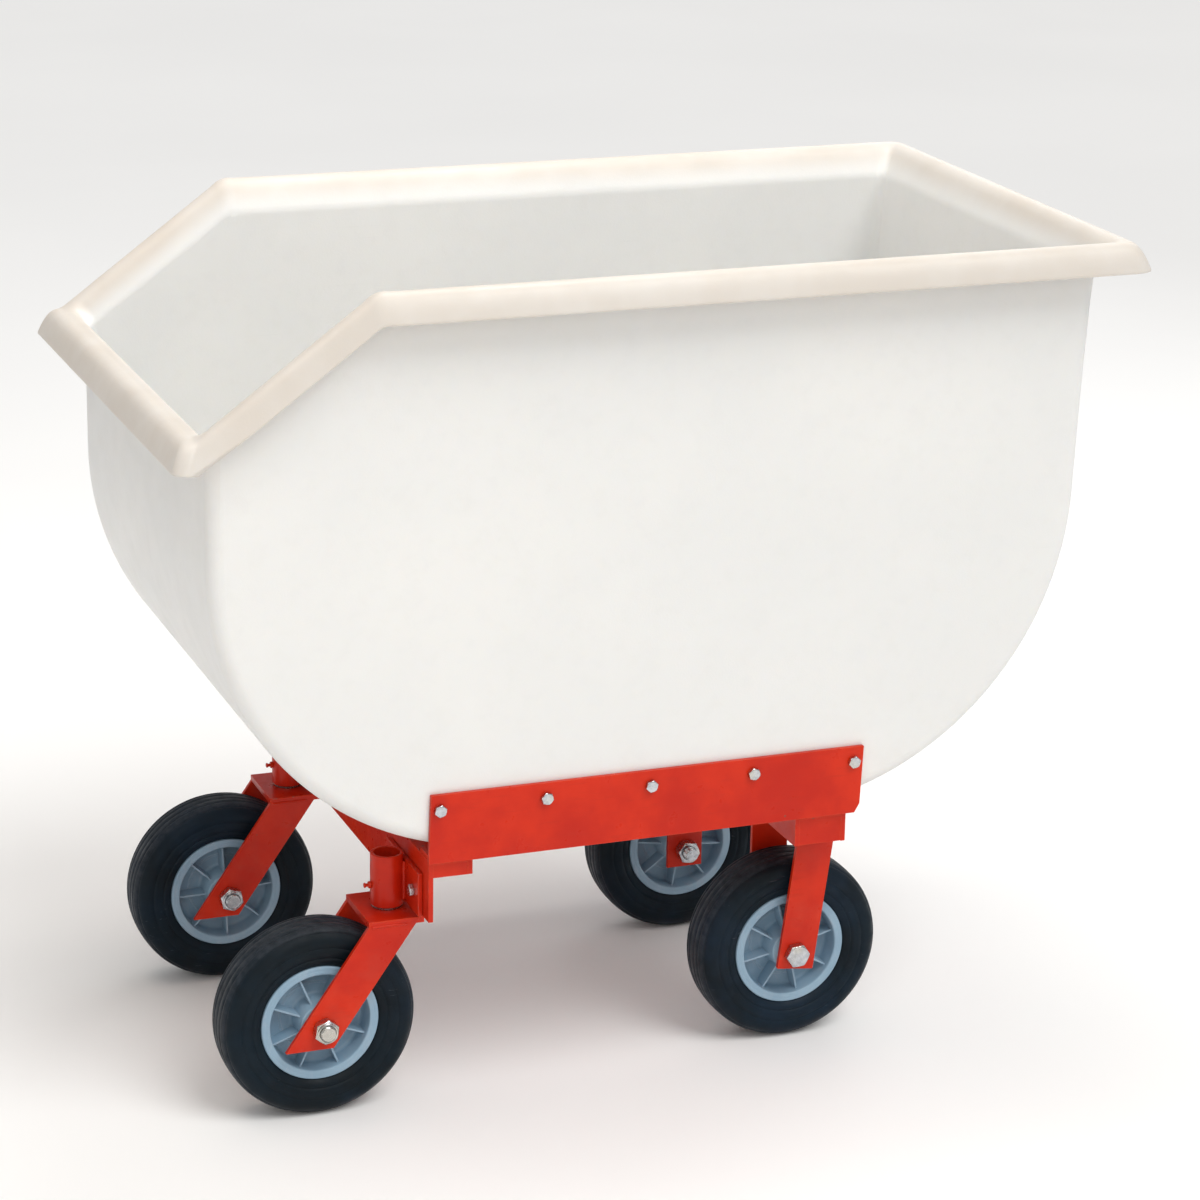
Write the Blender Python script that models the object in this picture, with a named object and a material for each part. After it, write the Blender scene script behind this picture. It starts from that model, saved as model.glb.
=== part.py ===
"""Poly feed cart: a rotomoulded tub on a bolted steel running gear.

Metres, +Z up, floor at Z = 0.  The open, sloped front of the tub and the two
swivel casters are at -X, the two fixed wheels at +X.  Left is -Y.
"""

import math

import bmesh
import bpy
from mathutils import Matrix, Vector

for old in list(bpy.data.objects):
    bpy.data.objects.remove(old, do_unlink=True)

# ---------------------------------------------------------------- dimensions
GAP = 0.0003  # running or fitting clearance between neighbouring pieces

CENTRE_SHIFT = 0.0070  # the dimensions below are laid out from a line this far ahead of the middle of the overall box

# tub
WALL = 0.007
TUB_HALF_WIDTH = 0.318
FRONT_WALL_X = -0.5835
REAR_WALL_X = 0.5560
REAR_DRAFT = 0.0135  # how far the rear wall leans back over its height
TUB_BOTTOM_Z = 0.3575
FRONT_ARC = 0.381
REAR_ARC = 0.407
FRONT_ARC_X = FRONT_WALL_X + FRONT_ARC
REAR_ARC_X = REAR_WALL_X - REAR_ARC
EDGE_RADIUS = 0.020
ARC_STEPS = 14
RIM_Z = 1.0785  # top of the rim along the level part
LIP_Z = 0.9185  # top of the rim across the front lip
KINK_X = -0.385  # where the level rim turns down
RIM_SLOPE = math.tan(math.radians(36.3))
RIM_DEPTH = 0.045  # from the top of the rim down to where the wall flares out
RIM_ROWS = ((0.004, -0.033), (0.011, -0.019), (0.018, -0.0095), (0.026, -0.0068), (0.033, -0.0105), (0.0400, -0.0230), (0.0455, -0.0370))
RIM_SQUARE = 0.9  # how much of the overhang keeps the rim's corners square instead of rounding them

# side rails: angle section, upright leg against the tub, other leg under it
RAIL_X0, RAIL_X1 = -0.314, 0.268
RAIL_Z0, RAIL_Z1 = 0.351, 0.441
RAIL_T = 0.006
RAIL_LEG = 0.046
RAIL_BOLT_X0, RAIL_BOLT_PITCH, RAIL_BOLT_Z = -0.300, 0.1385, 0.4215

# cross members
CROSS_HALF = 0.312
CROSS_TOP = RAIL_Z0 - GAP
FRONT_CROSS_X0, FRONT_CROSS_X1 = -0.310, -0.253
FRONT_WEB_Z0, FRONT_LIP_Z0 = 0.269, 0.3275
REAR_CROSS_X0, REAR_CROSS_X1, REAR_CROSS_Z0 = 0.182, 0.252, 0.309

# wheels
TYRE_R = 0.127
TYRE_HALF = 0.035
TYRE_STEPS = 32
HUB_STEPS = 24
HUB_R = 0.0763
HUB_HALF = 0.031
BOSS_R = 0.030
RIBS = 8
BEARING_R = 0.0160
AXLE_R = 0.0095
AXLE_Z = 0.127
FORK_IN = 0.0435  # half the clear width between the legs of a fork
LEG_T = 0.006
FORK_OUT = FORK_IN + LEG_T
LEG_W = 0.0508

# front casters
PIVOT_X, PIVOT_Y = -0.3365, 0.2245
TRAIL = 0.0965
FRONT_AXLE_X = PIVOT_X - TRAIL
RAKE = math.radians(34.8)
CROWN_Z0, CROWN_Z1 = 0.254, 0.262
TUBE_R, TUBE_Z0, TUBE_Z1 = 0.021, 0.2653, 0.334
PIN_R = 0.0125
SHOULDER_Z = 0.306
BRACKET_T = 0.006
BRACKET_HALF = 0.065
BRACKET_Z0, BRACKET_Z1 = 0.269, 0.326
BRACKET_BOLT_Y, BRACKET_BOLT_Z = 0.044, 0.297

# rear forks
REAR_AXLE_X, REAR_Y = 0.220, 0.193
REAR_RAKE = math.radians(7.2)
REAR_LEG_Z0 = 0.102

SIDES = (("left", -1), ("right", 1))

# ---------------------------------------------------------------- helpers
scene = bpy.context.scene
tools = bpy.data.collections.new("Cutters")
scene.collection.children.link(tools)


def material(name, colour, roughness, metallic):
    made = bpy.data.materials.new(name)
    made.use_nodes = True
    shader = made.node_tree.nodes["Principled BSDF"]
    shader.inputs["Base Color"].default_value = (*colour, 1)
    shader.inputs["Roughness"].default_value = roughness
    shader.inputs["Metallic"].default_value = metallic
    made.diffuse_color = (*colour, 1)
    return made


POLY = material("white_poly", (0.83, 0.84, 0.83), 0.45, 0)
RED = material("red_paint", (0.56, 0.025, 0.012), 0.35, 0)
RUBBER = material("tyre_rubber", (0.012, 0.015, 0.02), 0.7, 0)
GREY = material("grey_hub", (0.20, 0.27, 0.35), 0.45, 0.1)
ZINC = material("zinc_plate", (0.62, 0.63, 0.64), 0.3, 1)
STEEL = material("plain_steel", (0.36, 0.36, 0.37), 0.4, 1)


def finish(bm, name, finish_material, location=(0, 0, 0), cutter=False):
    bmesh.ops.recalc_face_normals(bm, faces=bm.faces)
    mesh = bpy.data.meshes.new(name)
    bm.to_mesh(mesh)
    bm.free()
    obj = bpy.data.objects.new(name, mesh)
    obj.location = location
    if cutter:
        tools.objects.link(obj)
        obj.hide_render = True
        obj.display_type = "WIRE"
        return obj
    scene.collection.objects.link(obj)
    mesh.materials.append(finish_material)
    for face in mesh.polygons:
        face.use_smooth = True
    mesh.set_sharp_from_angle(angle=math.radians(32))
    return obj


def add_box(bm, x0, x1, y0, y1, z0, z1):
    centre = Vector(((x0 + x1) / 2, (y0 + y1) / 2, (z0 + z1) / 2))
    size = Matrix.Diagonal((abs(x1 - x0), abs(y1 - y0), abs(z1 - z0), 1))
    bmesh.ops.create_cube(bm, size=1, matrix=Matrix.Translation(centre) @ size)


def ring_points(kind, radius, steps):
    """Points of a round or a hexagonal ring; a hexagon's radius is half its width across the flats."""
    points = []
    for i in range(steps):
        angle = 2 * math.pi * (i + 0.5) / steps if kind == "round" else 2 * math.pi * i / steps
        reach = radius
        if kind == "hex":
            reach = radius / math.cos((angle + math.pi / 6) % (math.pi / 3) - math.pi / 6)
        points.append((reach * math.cos(angle), reach * math.sin(angle)))
    return points


def add_stack(bm, rings, steps, turn=Matrix.Identity(4)):
    """One closed turned piece: rings of (height, kind, radius), drawn out of a disc one after the other."""
    height, kind, radius = rings[0]
    start = [bm.verts.new(turn @ Vector((x, y, height))) for x, y in ring_points(kind, radius, steps)]
    cap = bm.faces.new(start)
    base = bmesh.ops.duplicate(bm, geom=[cap])
    first = [f for f in base["geom"] if isinstance(f, bmesh.types.BMFace)][0]
    first.normal_flip()
    current = cap
    loop = start
    for height, kind, radius in rings[1:]:
        made = bmesh.ops.extrude_discrete_faces(bm, faces=[current])["faces"][0]
        where = ring_points(kind, radius, steps)
        order = [v for v in made.verts]
        keyed = {}
        for old, xy in zip(loop, where):
            nearest = min(order, key=lambda v: (v.co - old.co).length_squared)
            keyed[nearest] = xy
        loop = [min(order, key=lambda v: (v.co - old.co).length_squared) for old in loop]
        for vert, xy in keyed.items():
            vert.co = turn @ Vector((xy[0], xy[1], height))
        current = made
    bmesh.ops.remove_doubles(bm, verts=bm.verts, dist=1e-6)


def turned(profile, steps, turn=Matrix.Identity(4)):
    """A closed profile of (radius, height) spun right round."""
    bm = bmesh.new()
    verts = [bm.verts.new((r, 0, h)) for r, h in profile]
    edges = [bm.edges.new((verts[i], verts[(i + 1) % len(verts)])) for i in range(len(verts))]
    bmesh.ops.rotate(bm, verts=verts, cent=(0, 0, 0), matrix=Matrix.Rotation(math.pi / steps, 3, "Z"))
    bmesh.ops.spin(bm, geom=verts + edges, cent=(0, 0, 0), axis=(0, 0, 1), dvec=(0, 0, 0), angle=2 * math.pi, steps=steps, use_merge=True, use_duplicate=False)
    bmesh.ops.remove_doubles(bm, verts=bm.verts, dist=1e-6)
    bmesh.ops.transform(bm, matrix=turn, verts=bm.verts)
    return bm


def outline(points, y0, y1):
    """A flat plate in the XZ plane, drawn out from y0 to y1."""
    bm = bmesh.new()
    add_outline(bm, points, y0, y1)
    return bm


def add_outline(bm, points, y0, y1):
    face = bm.faces.new([bm.verts.new((x, y0, z)) for x, z in points])
    made = bmesh.ops.extrude_face_region(bm, geom=[face])["geom"]
    bmesh.ops.translate(bm, vec=(0, y1 - y0, 0), verts=[v for v in made if isinstance(v, bmesh.types.BMVert)])


def boolean(obj, other, operation):
    modifier = obj.modifiers.new(operation.lower(), "BOOLEAN")
    modifier.operation = operation
    modifier.solver = "EXACT"
    modifier.object = other


ALONG_X = Matrix.Rotation(math.pi / 2, 4, "Y")
ALONG_Y = Matrix.Rotation(-math.pi / 2, 4, "X")
ALONG_NEG_Y = Matrix.Rotation(math.pi / 2, 4, "X")


def holes(name, spots, radius, length, turn, steps=16):
    """Round cutters centred on the spots, all in one object."""
    bm = bmesh.new()
    for spot in spots:
        bmesh.ops.create_cone(bm, cap_ends=True, segments=steps, radius1=radius, radius2=radius, depth=length, matrix=Matrix.Translation(spot) @ turn)
    return finish(bm, name, None, cutter=True)


# ---------------------------------------------------------------- tub
def crest(x):
    """Height of the top of the rim above the floor, along the cart."""
    level, slope = RIM_Z, RIM_Z + RIM_SLOPE * (x - KINK_X)
    blend = 0.014
    if abs(x - KINK_X) < blend:
        t = (x - KINK_X + blend) / (2 * blend)
        return slope * (1 - t) + level * t - RIM_SLOPE * blend * t * (1 - t) * 0.3
    return max(LIP_Z, min(level, slope))


def tub_outline(inset):
    points = []
    top_rear = REAR_WALL_X + REAR_DRAFT - inset
    rear_top_z = RIM_Z - RIM_DEPTH
    points.append((top_rear, rear_top_z))
    arc_z = TUB_BOTTOM_Z + REAR_ARC
    for i in (1, 2):
        t = i / 3
        points.append((top_rear - REAR_DRAFT * (t ** 0.7), rear_top_z + (arc_z - rear_top_z) * t))
    for i in range(ARC_STEPS + 1):
        a = math.pi / 2 * i / ARC_STEPS
        points.append((REAR_ARC_X + (REAR_ARC - inset) * math.cos(a), arc_z - (REAR_ARC - inset) * math.sin(a)))
    arc_z = TUB_BOTTOM_Z + FRONT_ARC
    for i in range(ARC_STEPS + 1):
        a = math.pi / 2 * i / ARC_STEPS
        points.append((FRONT_ARC_X - (FRONT_ARC - inset) * math.sin(a), arc_z - (FRONT_ARC - inset) * math.cos(a)))
    for x in (FRONT_WALL_X + inset, KINK_X - 0.014, KINK_X, KINK_X + 0.014):
        points.append((x, crest(x) - RIM_DEPTH))
    return points


def top_rows():
    """The rim's upper face: the lower face's rows moved out by the wall thickness."""
    lower = [(0.0, -RIM_DEPTH - 0.02), (0.0, -RIM_DEPTH)] + list(RIM_ROWS)
    rows = []
    for i in range(1, len(lower)):
        normals = []
        for j in (i - 1, i):
            if j + 1 < len(lower):
                dx, dz = lower[j + 1][0] - lower[j][0], lower[j + 1][1] - lower[j][1]
                length = math.hypot(dx, dz)
                normals.append((-dz / length, dx / length))
        nx, nz = sum(n[0] for n in normals), sum(n[1] for n in normals)
        scale = WALL * len(normals) / (nx * nx + nz * nz)
        rows.append((lower[i][0] + nx * scale, lower[i][1] + nz * scale))
    return rows[1:]


def tub_sheet(inset, rows):
    """One face of the shell: body with rounded edges, then the rim drawn out row by row."""
    bm = outline(tub_outline(inset), -TUB_HALF_WIDTH + inset, TUB_HALF_WIDTH - inset)
    bm.normal_update()
    rounded = []
    for edge in bm.edges:
        a, b = edge.verts
        above = all(abs(v.co.z - (crest(v.co.x) - RIM_DEPTH)) < 1e-5 for v in (a, b))
        if abs(a.co.y - b.co.y) < 1e-6 and not above:
            rounded.append(edge)
    bmesh.ops.bevel(bm, geom=rounded, offset=EDGE_RADIUS - inset, offset_type="OFFSET", segments=3, profile=0.5, affect="EDGES", clamp_overlap=False)
    bmesh.ops.recalc_face_normals(bm, faces=bm.faces)
    lid = [f for f in bm.faces if f.normal.z > 0.5 and f.calc_center_median().z > 0.84]
    bmesh.ops.delete(bm, geom=lid, context="FACES")
    number = bm.verts.layers.int.new("number")
    base = {}
    edge_now = [e for e in bm.edges if e.is_boundary]
    x0, x1 = FRONT_WALL_X + EDGE_RADIUS, REAR_WALL_X + REAR_DRAFT - EDGE_RADIUS
    y1 = TUB_HALF_WIDTH - EDGE_RADIUS
    for index, vert in enumerate(v for v in bm.verts if v.is_boundary):
        vert[number] = index + 1
        near = Vector((min(max(vert.co.x, x0), x1), min(max(vert.co.y, -y1), y1), 0))
        out = Vector((vert.co.x, vert.co.y, 0)) - near
        at_corner = abs(near.x - vert.co.x) > 1e-6 and abs(near.y - vert.co.y) > 1e-6
        at_corner = at_corner or (min(abs(near.x - x0), abs(near.x - x1)) < 1e-4 and abs(abs(near.y) - y1) < 1e-4)
        out = out.normalized()
        if at_corner:
            out = out * (1 - RIM_SQUARE) + Vector((math.copysign(RIM_SQUARE, vert.co.x), math.copysign(RIM_SQUARE, vert.co.y), 0))
        base[index + 1] = (vert.co.copy(), out)
    for reach, drop in rows:
        made = bmesh.ops.extrude_edge_only(bm, edges=edge_now)["geom"]
        edge_now = [e for e in made if isinstance(e, bmesh.types.BMEdge) and e.is_boundary]
        for vert in {v for e in edge_now for v in e.verts}:
            start, out = base[vert[number]]
            place = start + out * (reach + inset)
            vert.co = Vector((place.x, place.y, crest(place.x) + drop))
    return bm


bm = tub_sheet(0.0, RIM_ROWS)
inner_sheet = tub_sheet(WALL, top_rows())
joined = bpy.data.meshes.new("tub_inner_sheet")
inner_sheet.to_mesh(joined)
inner_sheet.free()
bm.from_mesh(joined)
bmesh.ops.bridge_loops(bm, edges=[e for e in bm.edges if e.is_boundary])
tub = finish(bm, "tub", POLY)
rail_bolt_x = [RAIL_BOLT_X0 + i * RAIL_BOLT_PITCH for i in range(5)]
boolean(
    tub,
    holes("tub_bolt_holes", [(x, side * TUB_HALF_WIDTH, RAIL_BOLT_Z) for x in rail_bolt_x for _, side in SIDES], 0.0050, 0.06, ALONG_Y, 12),
    "DIFFERENCE",
)
TUB_BOLT_X, TUB_BOLT_Y = -0.281, 0.250
boolean(tub, holes("tub_floor_holes", [(TUB_BOLT_X, side * TUB_BOLT_Y, 0.368) for _, side in SIDES], 0.0050, 0.06, Matrix.Identity(4), 12), "DIFFERENCE")

# ---------------------------------------------------------------- side rails
for side_name, side in SIDES:
    bm = bmesh.new()
    inner = TUB_HALF_WIDTH + GAP
    # the front end leans a little, the rear lower corner is snipped off
    add_outline(
        bm,
        [(RAIL_X0 + 0.003, RAIL_Z1), (RAIL_X0, RAIL_Z0), (RAIL_X1 - 0.010, RAIL_Z0), (RAIL_X1 - 0.003, RAIL_Z0 + 0.012), (RAIL_X1, RAIL_Z1)],
        side * inner,
        side * (inner + RAIL_T),
    )
    rail = finish(bm, "side_rail_" + side_name, RED)
    bm = bmesh.new()
    add_box(bm, RAIL_X0 + 0.004, RAIL_X1 - 0.012, side * (inner + RAIL_T - 0.001), side * (inner + RAIL_T - RAIL_LEG), RAIL_Z0, RAIL_Z0 + RAIL_T)
    boolean(rail, finish(bm, "rail_leg_" + side_name, None, cutter=True), "UNION")
    boolean(rail, holes("rail_holes_" + side_name, [(x, side * (inner + RAIL_T / 2), RAIL_BOLT_Z) for x in rail_bolt_x], 0.0051, 0.02, ALONG_Y, 12), "DIFFERENCE")

# ---------------------------------------------------------------- front cross member: flange, deep web in front, short lip behind
T = 0.006
bm = bmesh.new()
add_outline(
    bm,
    [
        (FRONT_CROSS_X0, FRONT_WEB_Z0),
        (FRONT_CROSS_X0 + T, FRONT_WEB_Z0),
        (FRONT_CROSS_X0 + T, CROSS_TOP - T),
        (FRONT_CROSS_X1 - T, CROSS_TOP - T),
        (FRONT_CROSS_X1 - T, FRONT_LIP_Z0),
        (FRONT_CROSS_X1, FRONT_LIP_Z0),
        (FRONT_CROSS_X1, CROSS_TOP),
        (FRONT_CROSS_X0, CROSS_TOP),
    ],
    -CROSS_HALF,
    CROSS_HALF,
)
front_cross = finish(bm, "front_cross_member", RED)
bm = bmesh.new()
for _, side in SIDES:
    add_outline(
        bm,
        [
            (FRONT_CROSS_X0 + T / 2, FRONT_LIP_Z0),
            (FRONT_CROSS_X1 - T / 2 + 0.0025, FRONT_LIP_Z0 - 0.0002),
            (FRONT_CROSS_X1 - T / 2 - 0.001, CROSS_TOP - T / 2),
            (FRONT_CROSS_X0 + T / 2, CROSS_TOP - T / 2),
        ],
        side * (CROSS_HALF - T),
        side * (CROSS_HALF - 0.0004),
    )
boolean(front_cross, finish(bm, "front_cross_ends", None, cutter=True), "UNION")
bracket_bolts = [(side * PIVOT_Y + s * BRACKET_BOLT_Y) for _, side in SIDES for s in (-1, 1)]
boolean(front_cross, holes("web_holes", [(FRONT_CROSS_X0 + T / 2, y, BRACKET_BOLT_Z) for y in bracket_bolts], 0.0051, 0.02, ALONG_X, 12), "DIFFERENCE")
boolean(front_cross, holes("flange_holes", [(TUB_BOLT_X, side * TUB_BOLT_Y, CROSS_TOP - T / 2) for _, side in SIDES], 0.0051, 0.02, Matrix.Identity(4), 12), "DIFFERENCE")

# ---------------------------------------------------------------- rear cross member: channel, open below, ends closed
bm = bmesh.new()
add_outline(
    bm,
    [
        (REAR_CROSS_X0, REAR_CROSS_Z0),
        (REAR_CROSS_X0 + T, REAR_CROSS_Z0),
        (REAR_CROSS_X0 + T, CROSS_TOP - T),
        (REAR_CROSS_X1 - T, CROSS_TOP - T),
        (REAR_CROSS_X1 - T, REAR_CROSS_Z0),
        (REAR_CROSS_X1, REAR_CROSS_Z0),
        (REAR_CROSS_X1, CROSS_TOP),
        (REAR_CROSS_X0, CROSS_TOP),
    ],
    -CROSS_HALF,
    CROSS_HALF,
)
rear_cross = finish(bm, "rear_cross_member", RED)
bm = bmesh.new()
for _, side in SIDES:
    add_box(bm, REAR_CROSS_X0 + T / 2, REAR_CROSS_X1 - T / 2, side * (CROSS_HALF - T), side * (CROSS_HALF - 0.0004), REAR_CROSS_Z0 + 0.0005, CROSS_TOP - T / 2)
boolean(rear_cross, finish(bm, "rear_cross_ends", None, cutter=True), "UNION")

# ---------------------------------------------------------------- front caster brackets: plate with the swivel tube
for side_name, side in SIDES:
    y = side * PIVOT_Y
    x1 = FRONT_CROSS_X0 - GAP
    x0 = x1 - BRACKET_T
    bm = bmesh.new()
    add_box(bm, x0, x1, y - BRACKET_HALF, y + BRACKET_HALF, BRACKET_Z0, BRACKET_Z1)
    bracket = finish(bm, "caster_bracket_" + side_name, RED)
    bm = bmesh.new()
    add_stack(bm, [(TUBE_Z0, "round", TUBE_R), (TUBE_Z1, "round", TUBE_R)], 24, Matrix.Translation((PIVOT_X, y, 0)))
    boolean(bracket, finish(bm, "tube_blank_" + side_name, None, cutter=True), "UNION")
    bm = bmesh.new()
    add_stack(
        bm,
        [(TUBE_Z0 - 0.01, "round", PIN_R + GAP), (SHOULDER_Z, "round", PIN_R + GAP), (SHOULDER_Z, "round", 0.0168), (TUBE_Z1 + 0.01, "round", 0.0168)],
        24,
        Matrix.Translation((PIVOT_X, y, 0)),
    )
    boolean(bracket, finish(bm, "tube_bore_" + side_name, None, cutter=True), "DIFFERENCE")
    boolean(
        bracket,
        holes("bracket_holes_" + side_name, [(x0 + BRACKET_T / 2, y + s * BRACKET_BOLT_Y, BRACKET_BOLT_Z) for s in (-1, 1)], 0.0051, 0.02, ALONG_X, 12),
        "DIFFERENCE",
    )
    boolean(bracket, holes("grease_hole_" + side_name, [(PIVOT_X - TUBE_R + 0.001, y, 0.292)], 0.0030, 0.012, ALONG_X, 12), "DIFFERENCE")
    bm = bmesh.new()
    add_stack(
        bm,
        [(0.0003, "round", 0.0026), (0.0052, "round", 0.0026), (0.0052, "hex", 0.0040), (0.0080, "hex", 0.0040), (0.0080, "round", 0.0022), (0.0110, "round", 0.0022), (0.0124, "round", 0.0033), (0.0142, "round", 0.0026)],
        12,
        Matrix.Translation((PIVOT_X - TUBE_R + 0.0050, y, 0.292)) @ Matrix.Rotation(-math.pi / 2, 4, "Y"),
    )
    finish(bm, "grease_fitting_" + side_name, ZINC)

# ---------------------------------------------------------------- swivel forks and kingpins
for side_name, side in SIDES:
    y = side * PIVOT_Y
    pivot = (PIVOT_X, y, CROWN_Z0)
    bm = bmesh.new()
    # local frame: origin on the swivel axis at the underside of the crown
    add_box(bm, -0.0385, 0.0335, -FORK_OUT + 0.0004, FORK_OUT - 0.0004, 0, CROWN_Z1 - CROWN_Z0)
    fork = finish(bm, "swivel_fork_" + side_name, RED, pivot)
    bm = bmesh.new()
    half = LEG_W / 2 / math.cos(RAKE)
    low, high = 0.0995 - CROWN_Z0, CROWN_Z1 - CROWN_Z0 - 0.0006
    at_low = -TRAIL + (low - (AXLE_Z - CROWN_Z0)) * math.tan(RAKE)
    at_high = -TRAIL + (high - (AXLE_Z - CROWN_Z0)) * math.tan(RAKE)
    for s in (-1, 1):
        add_outline(bm, [(at_low - half, low), (at_low + half, low), (at_high + half, high), (at_high - half, high)], s * FORK_IN, s * FORK_OUT)
    boolean(fork, finish(bm, "fork_legs_" + side_name, None, pivot, cutter=True), "UNION")
    boolean(fork, holes("crown_hole_" + side_name, [(PIVOT_X, y, CROWN_Z0)], PIN_R + GAP, 0.04, Matrix.Identity(4), 24), "DIFFERENCE")
    boolean(fork, holes("fork_axle_hole_" + side_name, [(FRONT_AXLE_X, y, AXLE_Z)], AXLE_R + GAP, 0.14, ALONG_Y, 20), "DIFFERENCE")

    bm = bmesh.new()
    add_stack(bm, [(-0.0075, "round", 0.0170), (-0.0005, "round", 0.0180), (-0.0005, "round", PIN_R), (0.0555, "round", PIN_R), (0.0575, "round", PIN_R - 0.002)], 16)
    finish(bm, "kingpin_" + side_name, STEEL, pivot)
    finish(turned([(PIN_R + 0.0004, 0), (0.0200, 0), (0.0200, 0.0024), (PIN_R + 0.0004, 0.0024)], 16), "thrust_washer_" + side_name, STEEL, (PIVOT_X, y, CROWN_Z1 + 0.0004))
    finish(turned([(PIN_R + 0.0004, 0), (0.0160, 0), (0.0160, 0.0030), (PIN_R + 0.0004, 0.0030)], 16), "retaining_ring_" + side_name, ZINC, (PIVOT_X, y, SHOULDER_Z + 0.0003))

# ---------------------------------------------------------------- rear forks: outer leg raked, inner leg upright
for side_name, side in SIDES:
    y = side * REAR_Y
    top = REAR_CROSS_Z0 - GAP
    bm = bmesh.new()
    add_box(bm, 0.196, 0.250, y - FORK_OUT + 0.0004, y + FORK_OUT - 0.0004, top - 0.006, top)
    fork = finish(bm, "rear_fork_" + side_name, RED)
    bm = bmesh.new()
    half = LEG_W / 2 / math.cos(REAR_RAKE)
    centre = 0.2235
    top_leg = top - 0.0005
    at_top = centre + (top_leg - AXLE_Z) * math.tan(REAR_RAKE)
    at_low = centre + (REAR_LEG_Z0 - AXLE_Z) * math.tan(REAR_RAKE)
    tilt = LEG_W / 2 * math.sin(REAR_RAKE)
    add_outline(
        bm,
        [(at_low - LEG_W / 2 * math.cos(REAR_RAKE), REAR_LEG_Z0 + 2 * tilt), (at_low + LEG_W / 2 * math.cos(REAR_RAKE), REAR_LEG_Z0), (at_top + half, top_leg), (at_top - half, top_leg)],
        y + side * FORK_IN,
        y + side * FORK_OUT,
    )
    add_outline(bm, [(0.219 - LEG_W / 2, REAR_LEG_Z0), (0.219 + LEG_W / 2, REAR_LEG_Z0), (0.219 + LEG_W / 2, top_leg), (0.219 - LEG_W / 2, top_leg)], y - side * FORK_IN, y - side * FORK_OUT)
    boolean(fork, finish(bm, "rear_legs_" + side_name, None, cutter=True), "UNION")
    bm = bmesh.new()
    add_box(bm, 0.2145, 0.2205, y - FORK_IN - 0.003, y + FORK_IN + 0.003, 0.2775, top - 0.003)
    boolean(fork, finish(bm, "rear_fork_brace_" + side_name, None, cutter=True), "UNION")
    boolean(fork, holes("rear_axle_hole_" + side_name, [(REAR_AXLE_X, y, AXLE_Z)], AXLE_R + GAP, 0.14, ALONG_Y, 20), "DIFFERENCE")

# ---------------------------------------------------------------- wheels
flat = 1 / math.cos(math.pi / TYRE_STEPS)
TYRE = [
    (HUB_R + 0.0004, -0.0295),
    (0.0840, -0.0335),
    (0.0980, -TYRE_HALF),
    (0.1090, -TYRE_HALF),
    (0.1185, -0.0315),
    (0.1245, -0.0250),
    (TYRE_R, -0.0140),
]
HUB = [
    (BEARING_R + GAP, -0.0395),
    (BOSS_R - 0.004, -0.0390),
    (BOSS_R, -0.0050),
    (0.0635, -0.0040),
    (0.0645, -HUB_HALF),
    (HUB_R, -HUB_HALF),
]


def both_ways(profile):
    return profile + [(r, -h) for r, h in reversed(profile)]


def wheel(place, x, y, side):
    where = (x, y, AXLE_Z)
    finish(turned([(r * flat, h) for r, h in both_ways(TYRE)], TYRE_STEPS, ALONG_Y), "tyre_" + place, RUBBER, where)
    hub = finish(turned([(r, h) for r, h in both_ways(HUB)], HUB_STEPS, ALONG_Y), "wheel_hub_" + place, GREY, where)
    bm = bmesh.new()
    for i in range(RIBS):
        turn = Matrix.Rotation(2 * math.pi * (i + 0.5) / RIBS, 4, "Y")
        size = Matrix.Diagonal((0.0400, 0.0440, 0.0040, 1))
        bmesh.ops.create_cube(bm, size=1, matrix=turn @ Matrix.Translation((0.0475, 0, 0)) @ size)
    boolean(hub, finish(bm, "hub_ribs_" + place, None, where, cutter=True), "UNION")
    reach = FORK_IN - 0.0008
    finish(turned([(AXLE_R + GAP, -reach), (BEARING_R, -reach), (BEARING_R, reach), (AXLE_R + GAP, reach)], 20, ALONG_Y), "wheel_bearing_" + place, STEEL, where)


def axle(place, x, y, head_side, thread):
    """Bolt with its head towards head_side, and its nut at the other side."""
    turn = Matrix.Translation((x, y, AXLE_Z)) @ (ALONG_Y if head_side < 0 else ALONG_NEG_Y)
    h = FORK_OUT + GAP
    bm = bmesh.new()
    add_stack(
        bm,
        [(-h - 0.0120, "hex", 0.0128), (-h - 0.0108, "hex", 0.0143), (-h, "hex", 0.0143), (-h, "round", AXLE_R), (h + thread - 0.0015, "round", AXLE_R), (h + thread, "round", AXLE_R - 0.0015)],
        24,
        turn,
    )
    finish(bm, "axle_bolt_" + place, ZINC)
    bm = bmesh.new()
    add_stack(bm, [(h, "hex", 0.0143), (h + 0.0140, "hex", 0.0143), (h + 0.0160, "round", 0.0136)], 24, turn)
    nut = finish(bm, "axle_nut_" + place, ZINC)
    boolean(nut, holes("nut_bore_" + place, [(x, y - head_side * (h + 0.008), AXLE_Z)], AXLE_R + GAP, 0.03, ALONG_Y, 20), "DIFFERENCE")


for side_name, side in SIDES:
    wheel("front_" + side_name, FRONT_AXLE_X, side * PIVOT_Y, side)
    wheel("rear_" + side_name, REAR_AXLE_X, side * REAR_Y, side)
    axle("front_" + side_name, FRONT_AXLE_X, side * PIVOT_Y, 1, 0.0190)
    axle("rear_" + side_name, REAR_AXLE_X, side * REAR_Y, side, 0.0260)

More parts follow.
